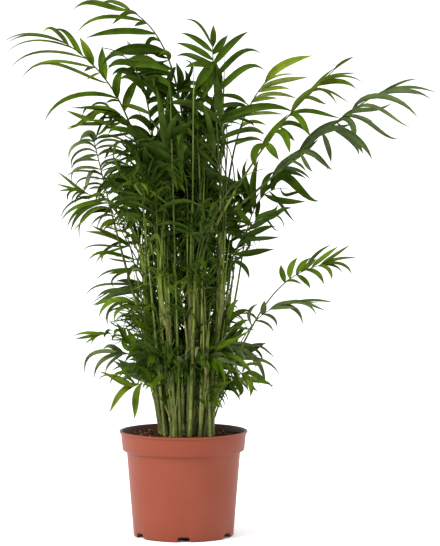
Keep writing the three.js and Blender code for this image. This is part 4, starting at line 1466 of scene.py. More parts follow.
@dataclass(frozen=True)
class CaneSkin:
    """The smooth green skin of a cane, ringed by scars where leaves fell off."""

    name: str
    green: Colour
    pale: Colour
    scar: Colour = (0.070, 0.058, 0.022)

    def material(self) -> bpy.types.Material:
        """Mixes the finish.

        Returns:
            Its material.
        """
        paint = Paint(self.name)
        streaks = paint.noise(3.0, 4, (1, 1, 0.06))
        patches = paint.noise(26, 3, (1, 1, 0.5))
        shade = paint.steepen(streaks * 0.5 + patches * 0.5, 0.36, 0.62)
        colour = paint.blend(shade, self.green, self.pale)
        scar = paint.attribute("scar")
        return paint.dress(
            base_color=paint.blend(scar * 0.7, colour, self.scar),
            roughness=0.45 + scar * 0.3,
            normal=paint.bump(streaks, 0.25, 0.6),
            specular_ior_level=0.1,
        )


@dataclass(frozen=True)
class GreenSkin:
    """The skin of a petiole, rachis, leaf base or spear: one green with lengthwise streaks."""

    name: str
    green: Colour
    pale: Colour
    gloss: float = 0.4

    def material(self) -> bpy.types.Material:
        """Mixes the finish.

        Returns:
            Its material.
        """
        paint = Paint(self.name)
        streaks = paint.noise(6, 4, (1, 1, 0.2))
        return paint.dress(
            base_color=paint.blend(paint.steepen(streaks, 0.35, 0.65), self.green, self.pale),
            roughness=self.gloss + streaks * 0.15,
            normal=paint.bump(streaks, 0.15, 0.5),
            specular_ior_level=0.1,
        )


@dataclass(frozen=True)
class LeafSkin:
    """One side of a leaflet, faintly mottled, with a waxy gloss."""

    name: str
    green: Colour
    gloss: float = 0.42
    shine: float = 0.03
    variation: float = 0.42

    def material(self) -> bpy.types.Material:
        """Mixes the finish.

        Returns:
            Its material.
        """
        paint = Paint(self.name)
        cloud = paint.noise(30, 2)
        veins = paint.veins(6)
        darker = tuple(c * (1 - self.variation) for c in self.green)
        lighter = tuple(c * (1 + self.variation) for c in self.green)
        shade = paint.steepen(cloud * 0.7 + veins * 0.3, 0.34, 0.66)
        return paint.dress(
            base_color=paint.blend(shade, darker, lighter),
            roughness=self.gloss + veins * 0.14,
            normal=paint.bump(veins, 0.25, 0.5),
            specular_ior_level=self.shine,
        )


@dataclass(frozen=True)
class Leafage:
    """The greens of one tone of frond: some upper sides, dealt out by leaflet, and an under."""

    tone: Tone
    uppers: tuple[Colour, ...]
    under: Colour
    shine: float = 0.03

    def materials(self) -> list[bpy.types.Material]:
        """Mixes this tone's greens.

        Returns:
            A material for each upper side, then the underside's.
        """
        sides = [
            LeafSkin(f"leaf_{self.tone.value}_{i + 1}", green, shine=self.shine).material()
            for i, green in enumerate(self.uppers)
        ]
        under = LeafSkin(f"leaf_{self.tone.value}_under", self.under, 0.6, 0.04)
        return [*sides, under.material()]


# ---- The pot and its soil --------------------------------------------------------------------


class Lathe:
    """A round shape modelled ring by ring: a circle, extruded and scaled up its profile."""

    def __init__(self, radius: float, z: float, sides: int) -> None:
        """Adds the first ring, and stays in edit mode.

        Args:
            radius: the ring's radius in mm.
            z: its height.
            sides: how many points it has.
        """
        deselect_all()
        bpy.ops.mesh.primitive_circle_add(
            vertices=sides, radius=radius * MM, location=(0, 0, z * MM), fill_type="NOTHING"
        )
        self.piece = bpy.context.object
        bpy.ops.object.transform_apply(location=True, rotation=False, scale=False)
        bpy.ops.object.mode_set(mode="EDIT")
        bpy.ops.mesh.select_all(action="SELECT")
        self.radius = radius
        self.z = z

    def to(self, radius: float, z: float) -> None:
        """Extrudes the last ring to another radius and height.

        Args:
            radius: the new ring's radius in mm.
            z: its height.
        """
        rise = (z - self.z) * MM
        bpy.ops.mesh.extrude_region_move(TRANSFORM_OT_translate={"value": (0, 0, rise)})
        grow = radius / self.radius
        if abs(grow - 1) > 1e-6:
            bpy.ops.transform.resize(value=(grow, grow, 1), center_override=(0, 0, z * MM))
        self.radius = radius
        self.z = z

    def close(self) -> bpy.types.Object:
        """Fills both end rings, turns the faces outwards and leaves edit mode.

        Returns:
            The closed shape.
        """
        bpy.ops.mesh.edge_face_add()
        bpy.ops.mesh.select_all(action="DESELECT")
        bpy.ops.mesh.select_non_manifold(extend=False)
        bpy.ops.mesh.edge_face_add()
        bpy.ops.mesh.select_all(action="SELECT")
        bpy.ops.mesh.remove_doubles(threshold=1e-6)
        bpy.ops.mesh.normals_make_consistent(inside=False)
        bpy.ops.object.mode_set(mode="OBJECT")
        return self.piece


@dataclass(frozen=True)
class Pot:
    """The nursery pot: a tapered body, a rim band with a rolled lip, and a notched skirt."""

    height: float = 197.0
    lip_radius: float = 120.0
    lip_height: float = 4.0
    band_top_radius: float = 117.2
    band_bottom_radius: float = 114.2
    band_height: float = 36.0
    band_chamfer: float = 4.5
    body_top_radius: float = 106.2
    foot_radius: float = 93.6
    wall: float = 2.2
    rounding: float = 1.0
    floor_underside: float = 10.0
    floor_top: float = 12.5
    centre_foot_radius: float = 20.0
    sides: int = 144
    notches: int = 6
    notch_width: float = 26.0
    notch_top_width: float = 20.0
    notch_height: float = 9.4
    pad_width: float = 21.0
    pad_height: float = 1.5
    hole_radius: float = 5.0
    hole_circle: float = 80.0
    hole_sides: int = 32
    cut_reach: float = 6.0
    cut_foot: float = -1.0
    notch_margin: float = 1.5
    edge: float = 0.45
    # The inner wall's colours, darker than the outside: painted shade for the shadow inside the pot, with
    # its scuffs in the lighter one.
    inside: Colour = (0.060, 0.013, 0.007)
    inside_shade_dusty: Colour = (0.085, 0.030, 0.018)

    def body_radius(self, z: float) -> float:
        """The outer radius below the band."""
        top = self.height - self.band_height - self.band_chamfer
        return lerp(self.foot_radius, self.body_top_radius, z / top)

    def profile(self) -> list[tuple[float, float]]:
        """The pot's outline, from the middle of its floor outside and in again.

        Returns:
            The radius and height of each ring.
        """
        band_foot = self.height - self.band_height
        body_top = band_foot - self.band_chamfer
        lip_foot = self.height - self.lip_height
        skirt_inner = self.foot_radius - self.wall
        wall, r = self.wall, self.rounding
        return [
            (self.centre_foot_radius, self.floor_underside),
            (skirt_inner, self.floor_underside),
            (skirt_inner, 0),
            (self.foot_radius, 0),
            (self.body_radius(40), 40),
            (self.body_radius(96), 96),
            (self.body_top_radius, body_top),
            (self.band_bottom_radius - 1.2, band_foot - 0.6),
            (self.band_bottom_radius, band_foot + 1.2),
            (self.band_top_radius - 0.3, lip_foot - 4),
            (self.band_top_radius, lip_foot - r),
            (self.lip_radius - 0.6, lip_foot),
            (self.lip_radius, lip_foot + r),
            (self.lip_radius, self.height - r),
            (self.lip_radius - 0.5 * r, self.height - 0.3 * r),
            (self.lip_radius - 1.3 * r, self.height),
            (self.band_top_radius - 0.9 * r, self.height - 0.1 * r),
            (self.band_top_radius - wall, lip_foot),
            (self.band_bottom_radius - wall, band_foot + wall),
            (self.body_top_radius - wall, body_top),
            (self.body_radius(self.floor_top) - wall, self.floor_top),
            (self.centre_foot_radius, self.floor_top),
        ]

    def shell(self) -> bpy.types.Object:
        """Turns the round shell.

        Returns:
            It, before its skirt is cut.
        """
        lathe = Lathe(self.centre_foot_radius, 0, self.sides)
        for radius, z in self.profile():
            lathe.to(radius, z)
        return lathe.close()

    def _block(self, corners: tuple[float, float, float, float], z: tuple[float, float]) -> None:
        """Adds a block that tapers upwards and stands across the skirt at the front.

        Args:
            corners: its half width below and above, and how far out it starts and ends.
            z: the heights of its underside and top.
        """
        below, above, inner, outer = (c * MM for c in corners)
        low, high = z[0] * MM, z[1] * MM
        bpy.ops.mesh.primitive_cube_add(
            size=1, location=(0, -(inner + outer) / 2, (low + high) / 2)
        )
        block = bpy.context.object
        block.scale = (2 * below, outer - inner, high - low)
        bpy.ops.object.transform_apply(location=True, rotation=False, scale=True)
        for vertex in block.data.vertices:
            if vertex.co.z > (low + high) / 2:
                vertex.co.x *= above / below

    def _spread(self, turn: float) -> list[bpy.types.Object]:
        """Copies the new cutter round the pot, each copy with its own mesh.

        Args:
            turn: how far the first one is turned, in radians.

        Returns:
            The copies.
        """
        first = bpy.context.object
        copies = []
        for i in range(self.notches):
            select_only(first)
            bpy.ops.object.duplicate(linked=False)
            copy = bpy.context.object
            bearing = turn + i * 2 * math.pi / self.notches
            copy.rotation_euler.z = bearing
            bpy.ops.object.transform_apply(location=False, rotation=True, scale=False)
            copies.append(copy)
        bpy.data.objects.remove(first)
        return copies

    def cutters(self) -> bpy.types.Object:
        """Makes the notches, the skirt's raised edges and the drainage holes.

        Returns:
            They as one cutter.
        """
        deselect_all()
        reach = (self.foot_radius - self.cut_reach, self.foot_radius + self.cut_reach)
        widths = (self.notch_width / 2, self.notch_top_width / 2)
        self._block((*widths, *reach), (self.cut_foot, self.notch_height))
        cutters = self._spread(0)
        pitch = 2 * math.pi / self.notches
        notch_half = self.notch_width / 2 / self.foot_radius
        pad_angle = self.pad_width / self.foot_radius
        span = pitch - notch_half * self.notch_margin - pad_angle
        middle = notch_half / 2 + span / 2
        half = (self.foot_radius + self.cut_reach) * math.tan(span / 2)
        self._block((half, half, *reach), (self.cut_foot, self.pad_height))
        cutters += self._spread(middle)
        bpy.ops.mesh.primitive_cylinder_add(
            vertices=self.hole_sides,
            radius=self.hole_radius * MM,
            depth=2 * self.floor_top * MM,
            location=(0, -self.hole_circle * MM, self.floor_top * MM),
        )
        bpy.ops.object.transform_apply(location=True, rotation=False, scale=False)
        cutters += self._spread(0)
        select_only(cutters[0])
        for cutter in cutters:
            cutter.select_set(True)
        bpy.ops.object.join()
        return bpy.context.object

    def build(self) -> bpy.types.Object:
        """Makes the pot, which stands for its node.

        Returns:
            The finished piece.
        """
        pot = self.shell()
        cutter = self.cutters()
        apply_modifier(
            pot, "BOOLEAN", operation="DIFFERENCE", solver="EXACT", use_self=True, object=cutter
        )
        bpy.data.objects.remove(cutter)
        apply_modifier(
            pot,
            "BEVEL",
            width=self.edge * MM,
            segments=2,
            limit_method="ANGLE",
            angle_limit=math.radians(40),
        )
        # The inner wall takes the same plastic, darkened: painted shade for the shadow inside the pot.
        painted_shade = MouldedPlastic("shaded_inside_plastic", self.inside, self.inside_shade_dusty).material()
        finish(pot, "nursery_pot", [MouldedPlastic().material(), painted_shade], 35)
        # Faces that look inwards, above the floor, take that painted shade.
        for face in pot.data.polygons:
            middle, normal = face.center, face.normal
            inward = middle.x * normal.x + middle.y * normal.y < 0
            if inward and middle.z > self.floor_top * MM:
                face.material_index = 1
        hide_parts("pot")
        return pot


@dataclass(frozen=True)
class Soil:
    """The potting mix: a lumpy surface with crumbs, bark and pale grains strewn on it."""

    surface: float = SOIL_SURFACE
    rim_surface: float = 187.0
    flat_radius: float = 68.0
    edge_radius: float = 113.2
    floor: float = 12.8
    floor_radius: float = 92.0
    ring_step: float = 2.4
    sides: int = 160
    shoulder: tuple[float, float] = (103.6, 156.0)
    edge_gap: float = 0.9
    edge_drop: float = 3.0
    crust_gap: float = 0.5
    crust_depth: float = 2.0
    lump_height: float = 3.2
    lump_width: float = 11.0
    lump_level: float = 0.6
    crumbs: int = 2600
    crumb_sizes: tuple[float, float] = (1.2, 5.0)
    crumb_stretch: float = 1.2
    bark_bits: int = 160
    bark_sizes: tuple[float, float] = (1.2, 3.2)
    bark_stretch: float = 3.6
    pale_grains: int = 90
    pale_sizes: tuple[float, float] = (1.2, 3.6)
    pale_stretch: float = 1.1
    strewn_margin: float = 4.0
    size_skew: float = 1.6
    most_tilt: float = 0.35
    roughness: float = 0.3
    flatness: float = 0.7
    raised: float = 0.15

    def height(self, radius: np.ndarray) -> np.ndarray:
        """The level of the surface at a distance from the middle."""
        share = (radius - self.flat_radius) / (self.edge_radius - self.flat_radius)
        return lerp(self.surface, self.rim_surface, np.clip(share, 0, 1))

    def bed(self) -> bpy.types.Object:
        """Makes the soil itself, closed down to the pot's floor.

        Returns:
            The finished piece.
        """
        lathe = Lathe(self.floor_radius, self.floor, self.sides)
        lathe.to(*self.shoulder)
        lathe.to(self.edge_radius - self.edge_gap, self.rim_surface - self.edge_drop)
        radius = self.edge_radius - self.crust_gap
        while radius > self.ring_step:
            lathe.to(radius, float(self.height(np.array(radius))))
            radius -= self.ring_step
        bed = lathe.close()
        clouds = bpy.data.textures.new("soil_lumps", "CLOUDS")
        clouds.noise_scale = self.lump_width * MM
        clouds.noise_depth = 4
        crust = bed.vertex_groups.new(name="crust")
        low = (self.rim_surface - self.crust_depth) * MM
        crust.add([v.index for v in bed.data.vertices if v.co.z > low], 1.0, "REPLACE")
        apply_modifier(
            bed,
            "DISPLACE",
            texture=clouds,
            direction="Z",
            strength=self.lump_height * MM,
            mid_level=self.lump_level,
            texture_coords="LOCAL",
            vertex_group="crust",
        )
        finish(bed, "potting_soil", [PottingMix().material()], 50)
        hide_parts("soil")
        return bed

    def _lump(self, subdivisions: int) -> tuple[np.ndarray, np.ndarray]:
        """One small lump, about 1 across.

        Args:
            subdivisions: how fine it is.

        Returns:
            Its points and its faces.
        """
        deselect_all()
        bpy.ops.mesh.primitive_ico_sphere_add(subdivisions=subdivisions, radius=0.5)
        lump = bpy.context.object
        points = np.array([v.co for v in lump.data.vertices])
        faces = np.array([list(p.vertices) for p in lump.data.polygons])
        bpy.data.objects.remove(lump)
        return points, faces

    def strewn(
        self,
        count: int,
        sizes: tuple[float, float],
        stretch: float,
        random: np.random.Generator,
        subdivisions: int = 1,
    ) -> bpy.types.Object:
        """Many lumps strewn over the bed and joined.

        Args:
            count: how many.
            sizes: the least and largest size, in mm.
            stretch: how much longer than wide they are.
            random: the source of their places.
            subdivisions: how fine one is.

        Returns:
            The joined piece.
        """
        points, faces = self._lump(subdivisions)
        parts = MeshParts()
        for _ in range(count):
            radius = (self.edge_radius - self.strewn_margin) * math.sqrt(random.uniform(0, 1))
            bearing = random.uniform(0, 2 * math.pi)
            skew = random.uniform(0, 1) ** self.size_skew
            size = sizes[0] * (sizes[1] / sizes[0]) ** skew
            spin = random.uniform(0, 2 * math.pi)
            tilt = random.uniform(-self.most_tilt, self.most_tilt)
            shape = points * (1 + self.roughness * random.standard_normal(points.shape))
            shape = shape * (size * stretch, size, size * self.flatness)
            shape = turned_about(turned_about(shape, 1, tilt), 2, spin)
            level = float(self.height(np.array(radius))) + self.raised * size
            middle = (radius * math.cos(bearing), radius * math.sin(bearing), level)
            parts.add(shape + middle, [faces], [0])
        return parts.piece()

    def build(self) -> None:
        """The bed and all that is strewn on it."""
        random = np.random.default_rng(SEED)
        self.bed()
        crumbs = self.strewn(self.crumbs, self.crumb_sizes, self.crumb_stretch, random)
        finish(crumbs, "soil_crumbs", [PottingMix().material()])
        bark = self.strewn(self.bark_bits, self.bark_sizes, self.bark_stretch, random)
        finish(bark, "bark_bits", [BARK.material()])
        pale = self.strewn(self.pale_grains, self.pale_sizes, self.pale_stretch, random)
        finish(pale, "pale_grains", [PALE_GRAIN.material()])


# ---- Canes -----------------------------------------------------------------------------------


@dataclass(frozen=True)
class CaneLook:
    """A cane's relief: internodes, with a ring and a scar at each node."""

    sides: int = 14
    low_internode: float = 20.0
    high_internode: float = 42.0
    long_from: float = 300.0
    step_scatter: tuple[float, float] = (0.8, 1.2)
    first_node: tuple[float, float] = (4.0, 14.0)
    last_node: float = 12.0
    waist: float = 0.95
    waist_at: float = 0.5
    foot_ring: tuple[float, float, float] = (-5.0, 1.05, 0.8)
    node_rings: tuple[tuple[float, float, float], ...] = (
        (-2.2, 1.02, 0.0),
        (-0.9, 1.07, 0.35),
        (0.0, 1.07, 1.0),
        (0.8, 1.03, 0.75),
        (2.4, 1.0, 0.0),
    )

    def stations(self, cane: Cane, random: np.random.Generator) -> list[tuple[float, float, float]]:
        """Places the rings of a cane.

        Args:
            cane: where it runs.
            random: the source of its differences.

        Returns:
            For each ring its height, its share of the radius, and how much of a scar it is.
        """
        rise, swell, scar = self.foot_ring
        rings = [(cane.foot + rise, swell, scar)]
        z = cane.foot + random.uniform(*self.first_node)
        while z < cane.top - self.last_node:
            share = clamp((z - cane.foot) / self.long_from, 0, 1)
            step = lerp(self.low_internode, self.high_internode, share)
            step *= random.uniform(*self.step_scatter)
            rings += [(z + rise, swell, scar) for rise, swell, scar in self.node_rings]
            rings.append((z + step * self.waist_at, self.waist, 0.0))
            z += step
        rings.append((cane.top, 1.0, 0.0))
        return rings

    def add(self, cane: Cane, seed: int, parts: MeshParts, slot: int = 0) -> None:
        """Adds a cane or shoot to a piece.

        Args:
            cane: where it runs.
            seed: of its small differences.
            parts: what it is added to.
            slot: the slot of its skin.
        """
        rings = self.stations(cane, np.random.default_rng(seed))
        spine = np.array([cane.centre(z) for z, _, _ in rings])
        radii = np.array([cane.radius(max(z, cane.foot)) * share for z, share, _ in rings])
        faces = tube_faces(len(rings), self.sides)
        parts.add(tube_points(spine, radii, self.sides), faces, [slot, slot])
        parts.scars.append(np.repeat([mark for _, _, mark in rings], self.sides))

    def build(self, index: int, cane: Cane, skin: bpy.types.Material) -> None:
        """Makes one cane, which stands for its node.

        Args:
            index: its number, from 1.
            cane: where it runs.
            skin: its material.
        """
        parts = MeshParts()
        self.add(cane, SEED + index, parts)
        piece = parts.piece()
        finish(piece, f"cane_{index:02d}", [skin], 60)
        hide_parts(f"stem_{index:02d}")


# ---- Fronds ----------------------------------------------------------------------------------


@dataclass(frozen=True)
class FrontView:
    """The front view that leaflets are posed on, seen from far before the plant."""

    centre_x: float = 183.3
    centre_y: float = 126.0
    height: float = 765.0
    distance: float = 4700.0
    zoom: float = 2520.0
    window_depth: float = -35.0
    window_points: int = 1

    def drawn(self, places: np.ndarray) -> np.ndarray:
        """Draws places on the view.

        Args:
            places: the places in mm.

        Returns:
            The point of the view where each shows.
        """
        shrink = self.zoom / (self.distance + places[..., 1])
        across = self.centre_x + shrink * places[..., 0]
        down = self.centre_y + shrink * (self.height - places[..., 2])
        return np.stack([across, down], -1)

    def in_the_way(self, lines: np.ndarray) -> np.ndarray:
        """Finds leaflets that would show inside a gap of the crown, or hide its stems.

        Args:
            lines: the middle lines of leaflets, as rows of places in mm.

        Returns:
            Whether each is one of those.
        """
        drawn = self.drawn(lines)
        crosses = np.zeros(len(lines), bool)
        near = lines[..., 1] < self.window_depth
        for box in OPENINGS:
            crosses |= self._inside(drawn, box).any(-1)
        for box in WINDOWS:
            crosses |= (self._inside(drawn, box) & near).sum(-1) > self.window_points
        return crosses

    def _inside(self, drawn: np.ndarray, box: tuple[float, float, float, float]) -> np.ndarray:
        """Which points of the view are in a box of it."""
        return ((drawn > box[:2]) & (drawn < box[2:])).all(-1)

    def placed(self, points: np.ndarray, depths: np.ndarray) -> np.ndarray:
        """Finds the places that show at points of the view.

        Args:
            points: the points.
            depths: how far behind the plant's middle each place is, in mm.

        Returns:
            The places in mm.
        """
        grow = (self.distance + depths) / self.zoom
        x = (points[..., 0] - self.centre_x) * grow
        return np.stack([x, depths, self.height - (points[..., 1] - self.centre_y) * grow], -1)


@dataclass(frozen=True)
class Leafing:
    """A frond whose leaflets are being made.

    Attributes:
        rachis: its rachis.
        parts: what its leaflets are added to.
        uppers: how many slots their upper sides are dealt to; their undersides' is the next.
        random: the source of their differences.
    """

    rachis: Rachis
    parts: MeshParts
    uppers: int
    random: np.random.Generator


@dataclass(frozen=True)
class LeafletRule:
    """The leaflets of a frond: how they are spaced, how they hold themselves, their outline."""

    root_width: float = 5.0
    min_pairs: int = 5
    max_pairs: int = 14
    far_side_start: float = 0.4
    spacing_scatter: float = 0.014
    full_length: float = 150.0
    least_width_scale: float = 0.74
    root_length_scale: float = 0.7
    full_length_scale: float = 1.1
    length_scatter: float = 0.07
    fullness: tuple[float, float] = (0.3, 0.84)
    sweep: tuple[float, float] = (26.0, 60.0)
    middle_sweep: float = 6.0
    tip_sweep: float = 10.0
    tip_lift_share: float = 0.3
    middle_droop: tuple[float, float] = (18.0, 10.0)
    middle_lean_share: float = 0.6
    tip_droop: tuple[float, float] = (72.0, 46.0)
    steepest_droop: float = 84.0
    sections: int = 11
    widest: tuple[float, float] = (0.3, 0.46)
    root_share: float = 0.22
    tip_sharpness: float = 1.15
    fold: float = 20.0
    thickness: float = 0.45
    tip_thinning: float = 0.7
    sweep_scatter: float = 6.0
    droop_scatter: float = 9.0
    tip_scatter: float = 16.0
    twist_scatter: float = 16.0
    curl_scatter: float = 34.0
    posed_curl_share: float = 0.4
    posed_depth: tuple[float, float] = (0.15, 0.42)
    posed_width: float = 14.0
    posed_swell: float = 0.5
    posed_from: float = 0.2
    posed_shares: int = 400
    least_shown: float = 0.12
    light_way: Place = (0, -0.6, 1.0)
    shaded_share: float = 0.74
    view: FrontView = FrontView()

    def half_width(self, s: np.ndarray) -> np.ndarray:
        """The outline of a leaflet 2 wide.

        Args:
            s: shares of its length.

        Returns:
            Half its width at each.
        """
        start, end = self.widest
        rising = lerp(self.root_share, 1, np.sin(0.5 * math.pi * np.clip(s / start, 0, 1)))
        past = np.clip((s - end) / (1 - end), 0, 1)
        return np.minimum(rising, np.cos(0.5 * math.pi * past) ** self.tip_sharpness)

    def add_frond(self, leafing: Leafing, blades: Sequence[Blade]) -> None:
        """Adds all leaflets of a frond.

        Args:
            leafing: the frond.
            blades: its posed leaflets. Where there are any, the rule adds none of its own.
        """
        row, length = leafing.rachis.row, leafing.rachis.length()
        first = lerp(row.bare, 1, row.habit.skip)
        leafy = length * (1 - first)
        pairs = int(clamp(round(leafy / row.habit.spacing), self.min_pairs, self.max_pairs))
        last = 1 - 0.5 * self.root_width / length
        for side in (-1, 1):
            start = 0.0 if side < 0 else self.far_side_start
            progress = (np.arange(pairs) + start) / (pairs - 1 + self.far_side_start)
            strays = leafing.random.normal(0, self.spacing_scatter, pairs)
            progress = np.clip(progress + strays, 0, 1)
            if not blades:
                self._add_side(leafing, lerp(first, last, progress), progress, side)
        for i, blade in enumerate(blades):
            self._add_posed(leafing, blade, 1 if i % 2 else -1)

    def _add_posed(self, leafing: Leafing, blade: Blade, lean: int) -> None:
        """Adds a posed leaflet, at the share of the rachis nearest its start.

        It keeps to its points on the front view, and leans forward or back off the frond.

        Args:
            leafing: the frond.
            blade: the leaflet.
            lean: -1 if it leans forward and 1 if back.
        """
        shares = np.linspace(self.posed_from, 1, self.posed_shares)
        gaps = self.view.drawn(leafing.rachis.at(shares)) - blade.points[0]
        share = shares[np.argmin(np.linalg.norm(gaps, axis=-1))]
        foot = leafing.rachis.at(np.array(share))
        shift = self.view.drawn(foot) - blade.points[0]
        chords = np.linalg.norm(np.diff(blade.points, axis=0), axis=1)
        along = np.concatenate([[0], np.cumsum(chords)]) / chords.sum()
        points = blade.points + shift * ((1 - along) ** 2)[:, None]
        s = np.linspace(0, 1, self.sections + 1)
        curve = [np.polyval(np.polyfit(along, row, len(points) - 1), s) for row in points.T]
        reach = chords.sum() * leafing.random.uniform(*self.posed_depth)
        grow = self.view.distance / self.view.zoom
        depths = foot[1] + lean * reach * grow * np.sin(0.5 * math.pi * s)
        middles = self.view.placed(np.stack(curve, -1), depths)
        headings = unit(np.gradient(middles, axis=0))
        flat = unit(np.cross(headings, NORTH))
        seen = (blade.width + self.posed_swell) * grow
        width = max(self.posed_width, seen)
        shown = max(self.least_shown, seen / width)
        curl_scatter = self.posed_curl_share * self.curl_scatter
        curl = np.radians(leafing.random.normal(0, curl_scatter)) * s
        turn = math.sqrt(max(0, 1 - shown * shown)) * lean
        across = flat * shown + np.cross(flat, headings) * turn
        across = turned(unit(across), headings, curl)
        normals = np.cross(across, headings)
        facing = np.sign(normals.mean(0) @ self.light_way)
        lines = (middles[None], across[None] * facing, normals[None] * facing)
        self._add_blades(leafing, np.array([share]), *lines, np.array([width]), 1)

    def _headings(
        self,
        leafing: Leafing,
        shares: np.ndarray,
        progress: np.ndarray,
        side: int,
    ) -> np.ndarray:
        """The way each leaflet heads, from its root to its tip.

        Args:
            leafing: the frond.
            shares: where along the rachis the leaflets are.
            progress: how far along the leafy part each is.
            side: -1 or 1.

        Returns:
            For each leaflet, a row of directions.
        """
        row, random = leafing.rachis.row, leafing.random
        habit, disorder = row.habit, row.habit.disorder
        along, aside, upper = leafing.rachis.faces(shares)

        def spread(ends: tuple[float, float], scatter: float) -> np.ndarray:
            """Angles from the first leaflet's to the last's, in degrees, with some scatter."""
            return np.radians(lerp(*ends, progress) + random.normal(0, scatter, len(progress)))

        sweeps = (self.sweep[0] + habit.sweep, self.sweep[1] + habit.sweep)
        sweep = spread(sweeps, self.sweep_scatter * disorder)
        lift = spread((row.lift, row.lift * self.tip_lift_share), self.sweep_scatter)
        droop = spread(self.middle_droop, self.droop_scatter * disorder)
        tip = spread(self.tip_droop, self.tip_scatter * disorder)
        lean = math.radians(habit.droops[(side + 1) // 2])
        steepest = math.radians(self.steepest_droop)

        def swept(more: float) -> np.ndarray:
            """The way out in the frond's plane, swept forward by some degrees more."""
            angle = sweep + np.radians(random.normal(more, self.sweep_scatter, len(sweep)))
            return aside * (side * np.cos(angle))[:, None] + along * np.sin(angle)[:, None]

        def lowered(out: np.ndarray, fall: np.ndarray) -> np.ndarray:
            """A way out that falls by an angle."""
            return unit(out - UP * np.tan(np.clip(fall, -steepest, steepest))[:, None])

        rising = unit(swept(0) + upper * np.tan(lift)[:, None])
        falling = lowered(swept(self.middle_sweep), droop + self.middle_lean_share * lean)
        hanging = lowered(swept(self.tip_sweep), tip + lean)
        s = np.linspace(0, 1, self.sections + 1)[:, None]
        curve = (1 - s) ** 2 * rising[:, None] + 2 * s * (1 - s) * falling[:, None]
        return unit(curve + s * s * hanging[:, None])

    def _add_side(
        self,
        leafing: Leafing,
        shares: np.ndarray,
        progress: np.ndarray,
        side: int,
    ) -> None:
        """Adds the leaflets of one side of a frond, all at once.

        Args:
            leafing: the frond.
            shares: where along the rachis they are.
            progress: how far along the leafy part each is.
            side: -1 or 1.
        """
        rachis, random, count = leafing.rachis, leafing.random, len(shares)
        habit, which = rachis.row.habit, (side + 1) // 2
        _, aside, upper = rachis.faces(shares)
        headings = self._headings(leafing, shares, progress, side)
        fullness = np.sin(math.pi * lerp(*self.fullness, progress))
        scale = lerp(self.root_length_scale, self.full_length_scale, fullness)
        lengths = rachis.row.leaflet * scale
        lengths = lengths * habit.lengths[which] * random.normal(1, self.length_scatter, count)
        steps = 0.5 * (headings[:, 1:] + headings[:, :-1]) * (lengths / self.sections)[:, None, None]
        root = rachis.at(shares) + aside * (side * 0.5 * rachis.radius(shares))[:, None]
        path = np.concatenate([np.zeros((count, 1, 3)), np.cumsum(steps, axis=1)], axis=1)
        middles = root[:, None] + path

        flat = unit(np.cross(headings[:, 0], upper) * side)
        level = unit(np.cross(headings[:, 0], UP) * side)
        across = unit(lerp(flat, level, habit.levels[which]))[:, None]
        across = unit(across - headings * (across * headings).sum(-1, keepdims=True))
        s = np.linspace(0, 1, self.sections + 1)
        twist = np.radians(random.normal(0, self.twist_scatter * habit.disorder, (count, 1)))
        curl = np.radians(random.normal(0, self.curl_scatter, (count, 1)))
        across = turned(across, headings, twist + curl * s)
        normals = np.cross(across, headings) * side
        widths = habit.widths[which] * np.clip(lengths / self.full_length, self.least_width_scale, 1)
        kept = ~self.view.in_the_way(middles)
        if kept.any():
            lines = (middles[kept], across[kept], normals[kept])
            self._add_blades(leafing, shares[kept], *lines, widths[kept], side)

    def _add_blades(
        self,
        leafing: Leafing,
        shares: np.ndarray,
        middles: np.ndarray,
        across: np.ndarray,
        normals: np.ndarray,
        widths: np.ndarray,
        side: int,
    ) -> None:
        """Adds leaflets, each folded along its middle and keeled below.

        Args:
            leafing: the frond.
            shares: where along the rachis they are.
            middles: for each leaflet, the points of its middle line.
            across: the directions of its width there.
            normals: the directions of its upper side there.
            widths: how wide each leaflet is.
            side: -1 or 1, which turns its faces round.
        """
        count, uppers = len(middles), leafing.uppers
        # The slots run from the darkest to the palest, which is dealt only near the tip. Leaflets rooted
        # before the shaded share take the darker ones: painted shade inside the frond, and partly the
        # darker green of older leaflets.
        low = leafing.random.integers(0, max(1, uppers - 1), count)
        high = leafing.random.integers(min(1, uppers - 1), uppers, count)
        tints = np.where(shares < self.shaded_share, low, high)
        s = np.linspace(0, 1, self.sections + 1)
        half = 0.5 * widths[:, None] * self.half_width(s)
        edge = across * (half * math.cos(math.radians(self.fold)))[..., None]
        raised = normals * (half * math.sin(math.radians(self.fold)))[..., None]
        keel = normals * (self.thickness * (1 - self.tip_thinning * s))[:, None]
        lines = [middles - edge + raised, middles, middles + edge + raised, middles - keel]
        rings = np.stack(lines, axis=2)[:, :-1].reshape(count, -1, 3)
        points = np.concatenate([rings, middles[:, -1:]], axis=1)
        blocks = leaflet_faces(self.sections, side)
        veins = leaflet_uvs(self.sections)
        for i, upper in enumerate(tints.tolist()):
            slots = [upper, uppers, upper, uppers, uppers]
            leafing.parts.add(points[i], blocks, slots, veins + (4 * i, 0))


def leaflet_uvs(rings: int) -> np.ndarray:
    """For each point of a leaflet, how far across its blade and how far along it lies.

    Args:
        rings: how many rings of four points it has, before its tip.

    Returns:
        Pairs, from -1 to 1 across and from 0 to 1 along.
    """
    along = np.repeat(np.arange(rings) / rings, 4)
    across = np.tile([-1.0, 0.0, 1.0, 0.0], rings)
    return np.concatenate([np.stack([across, along], -1), [[0.0, 1.0]]])


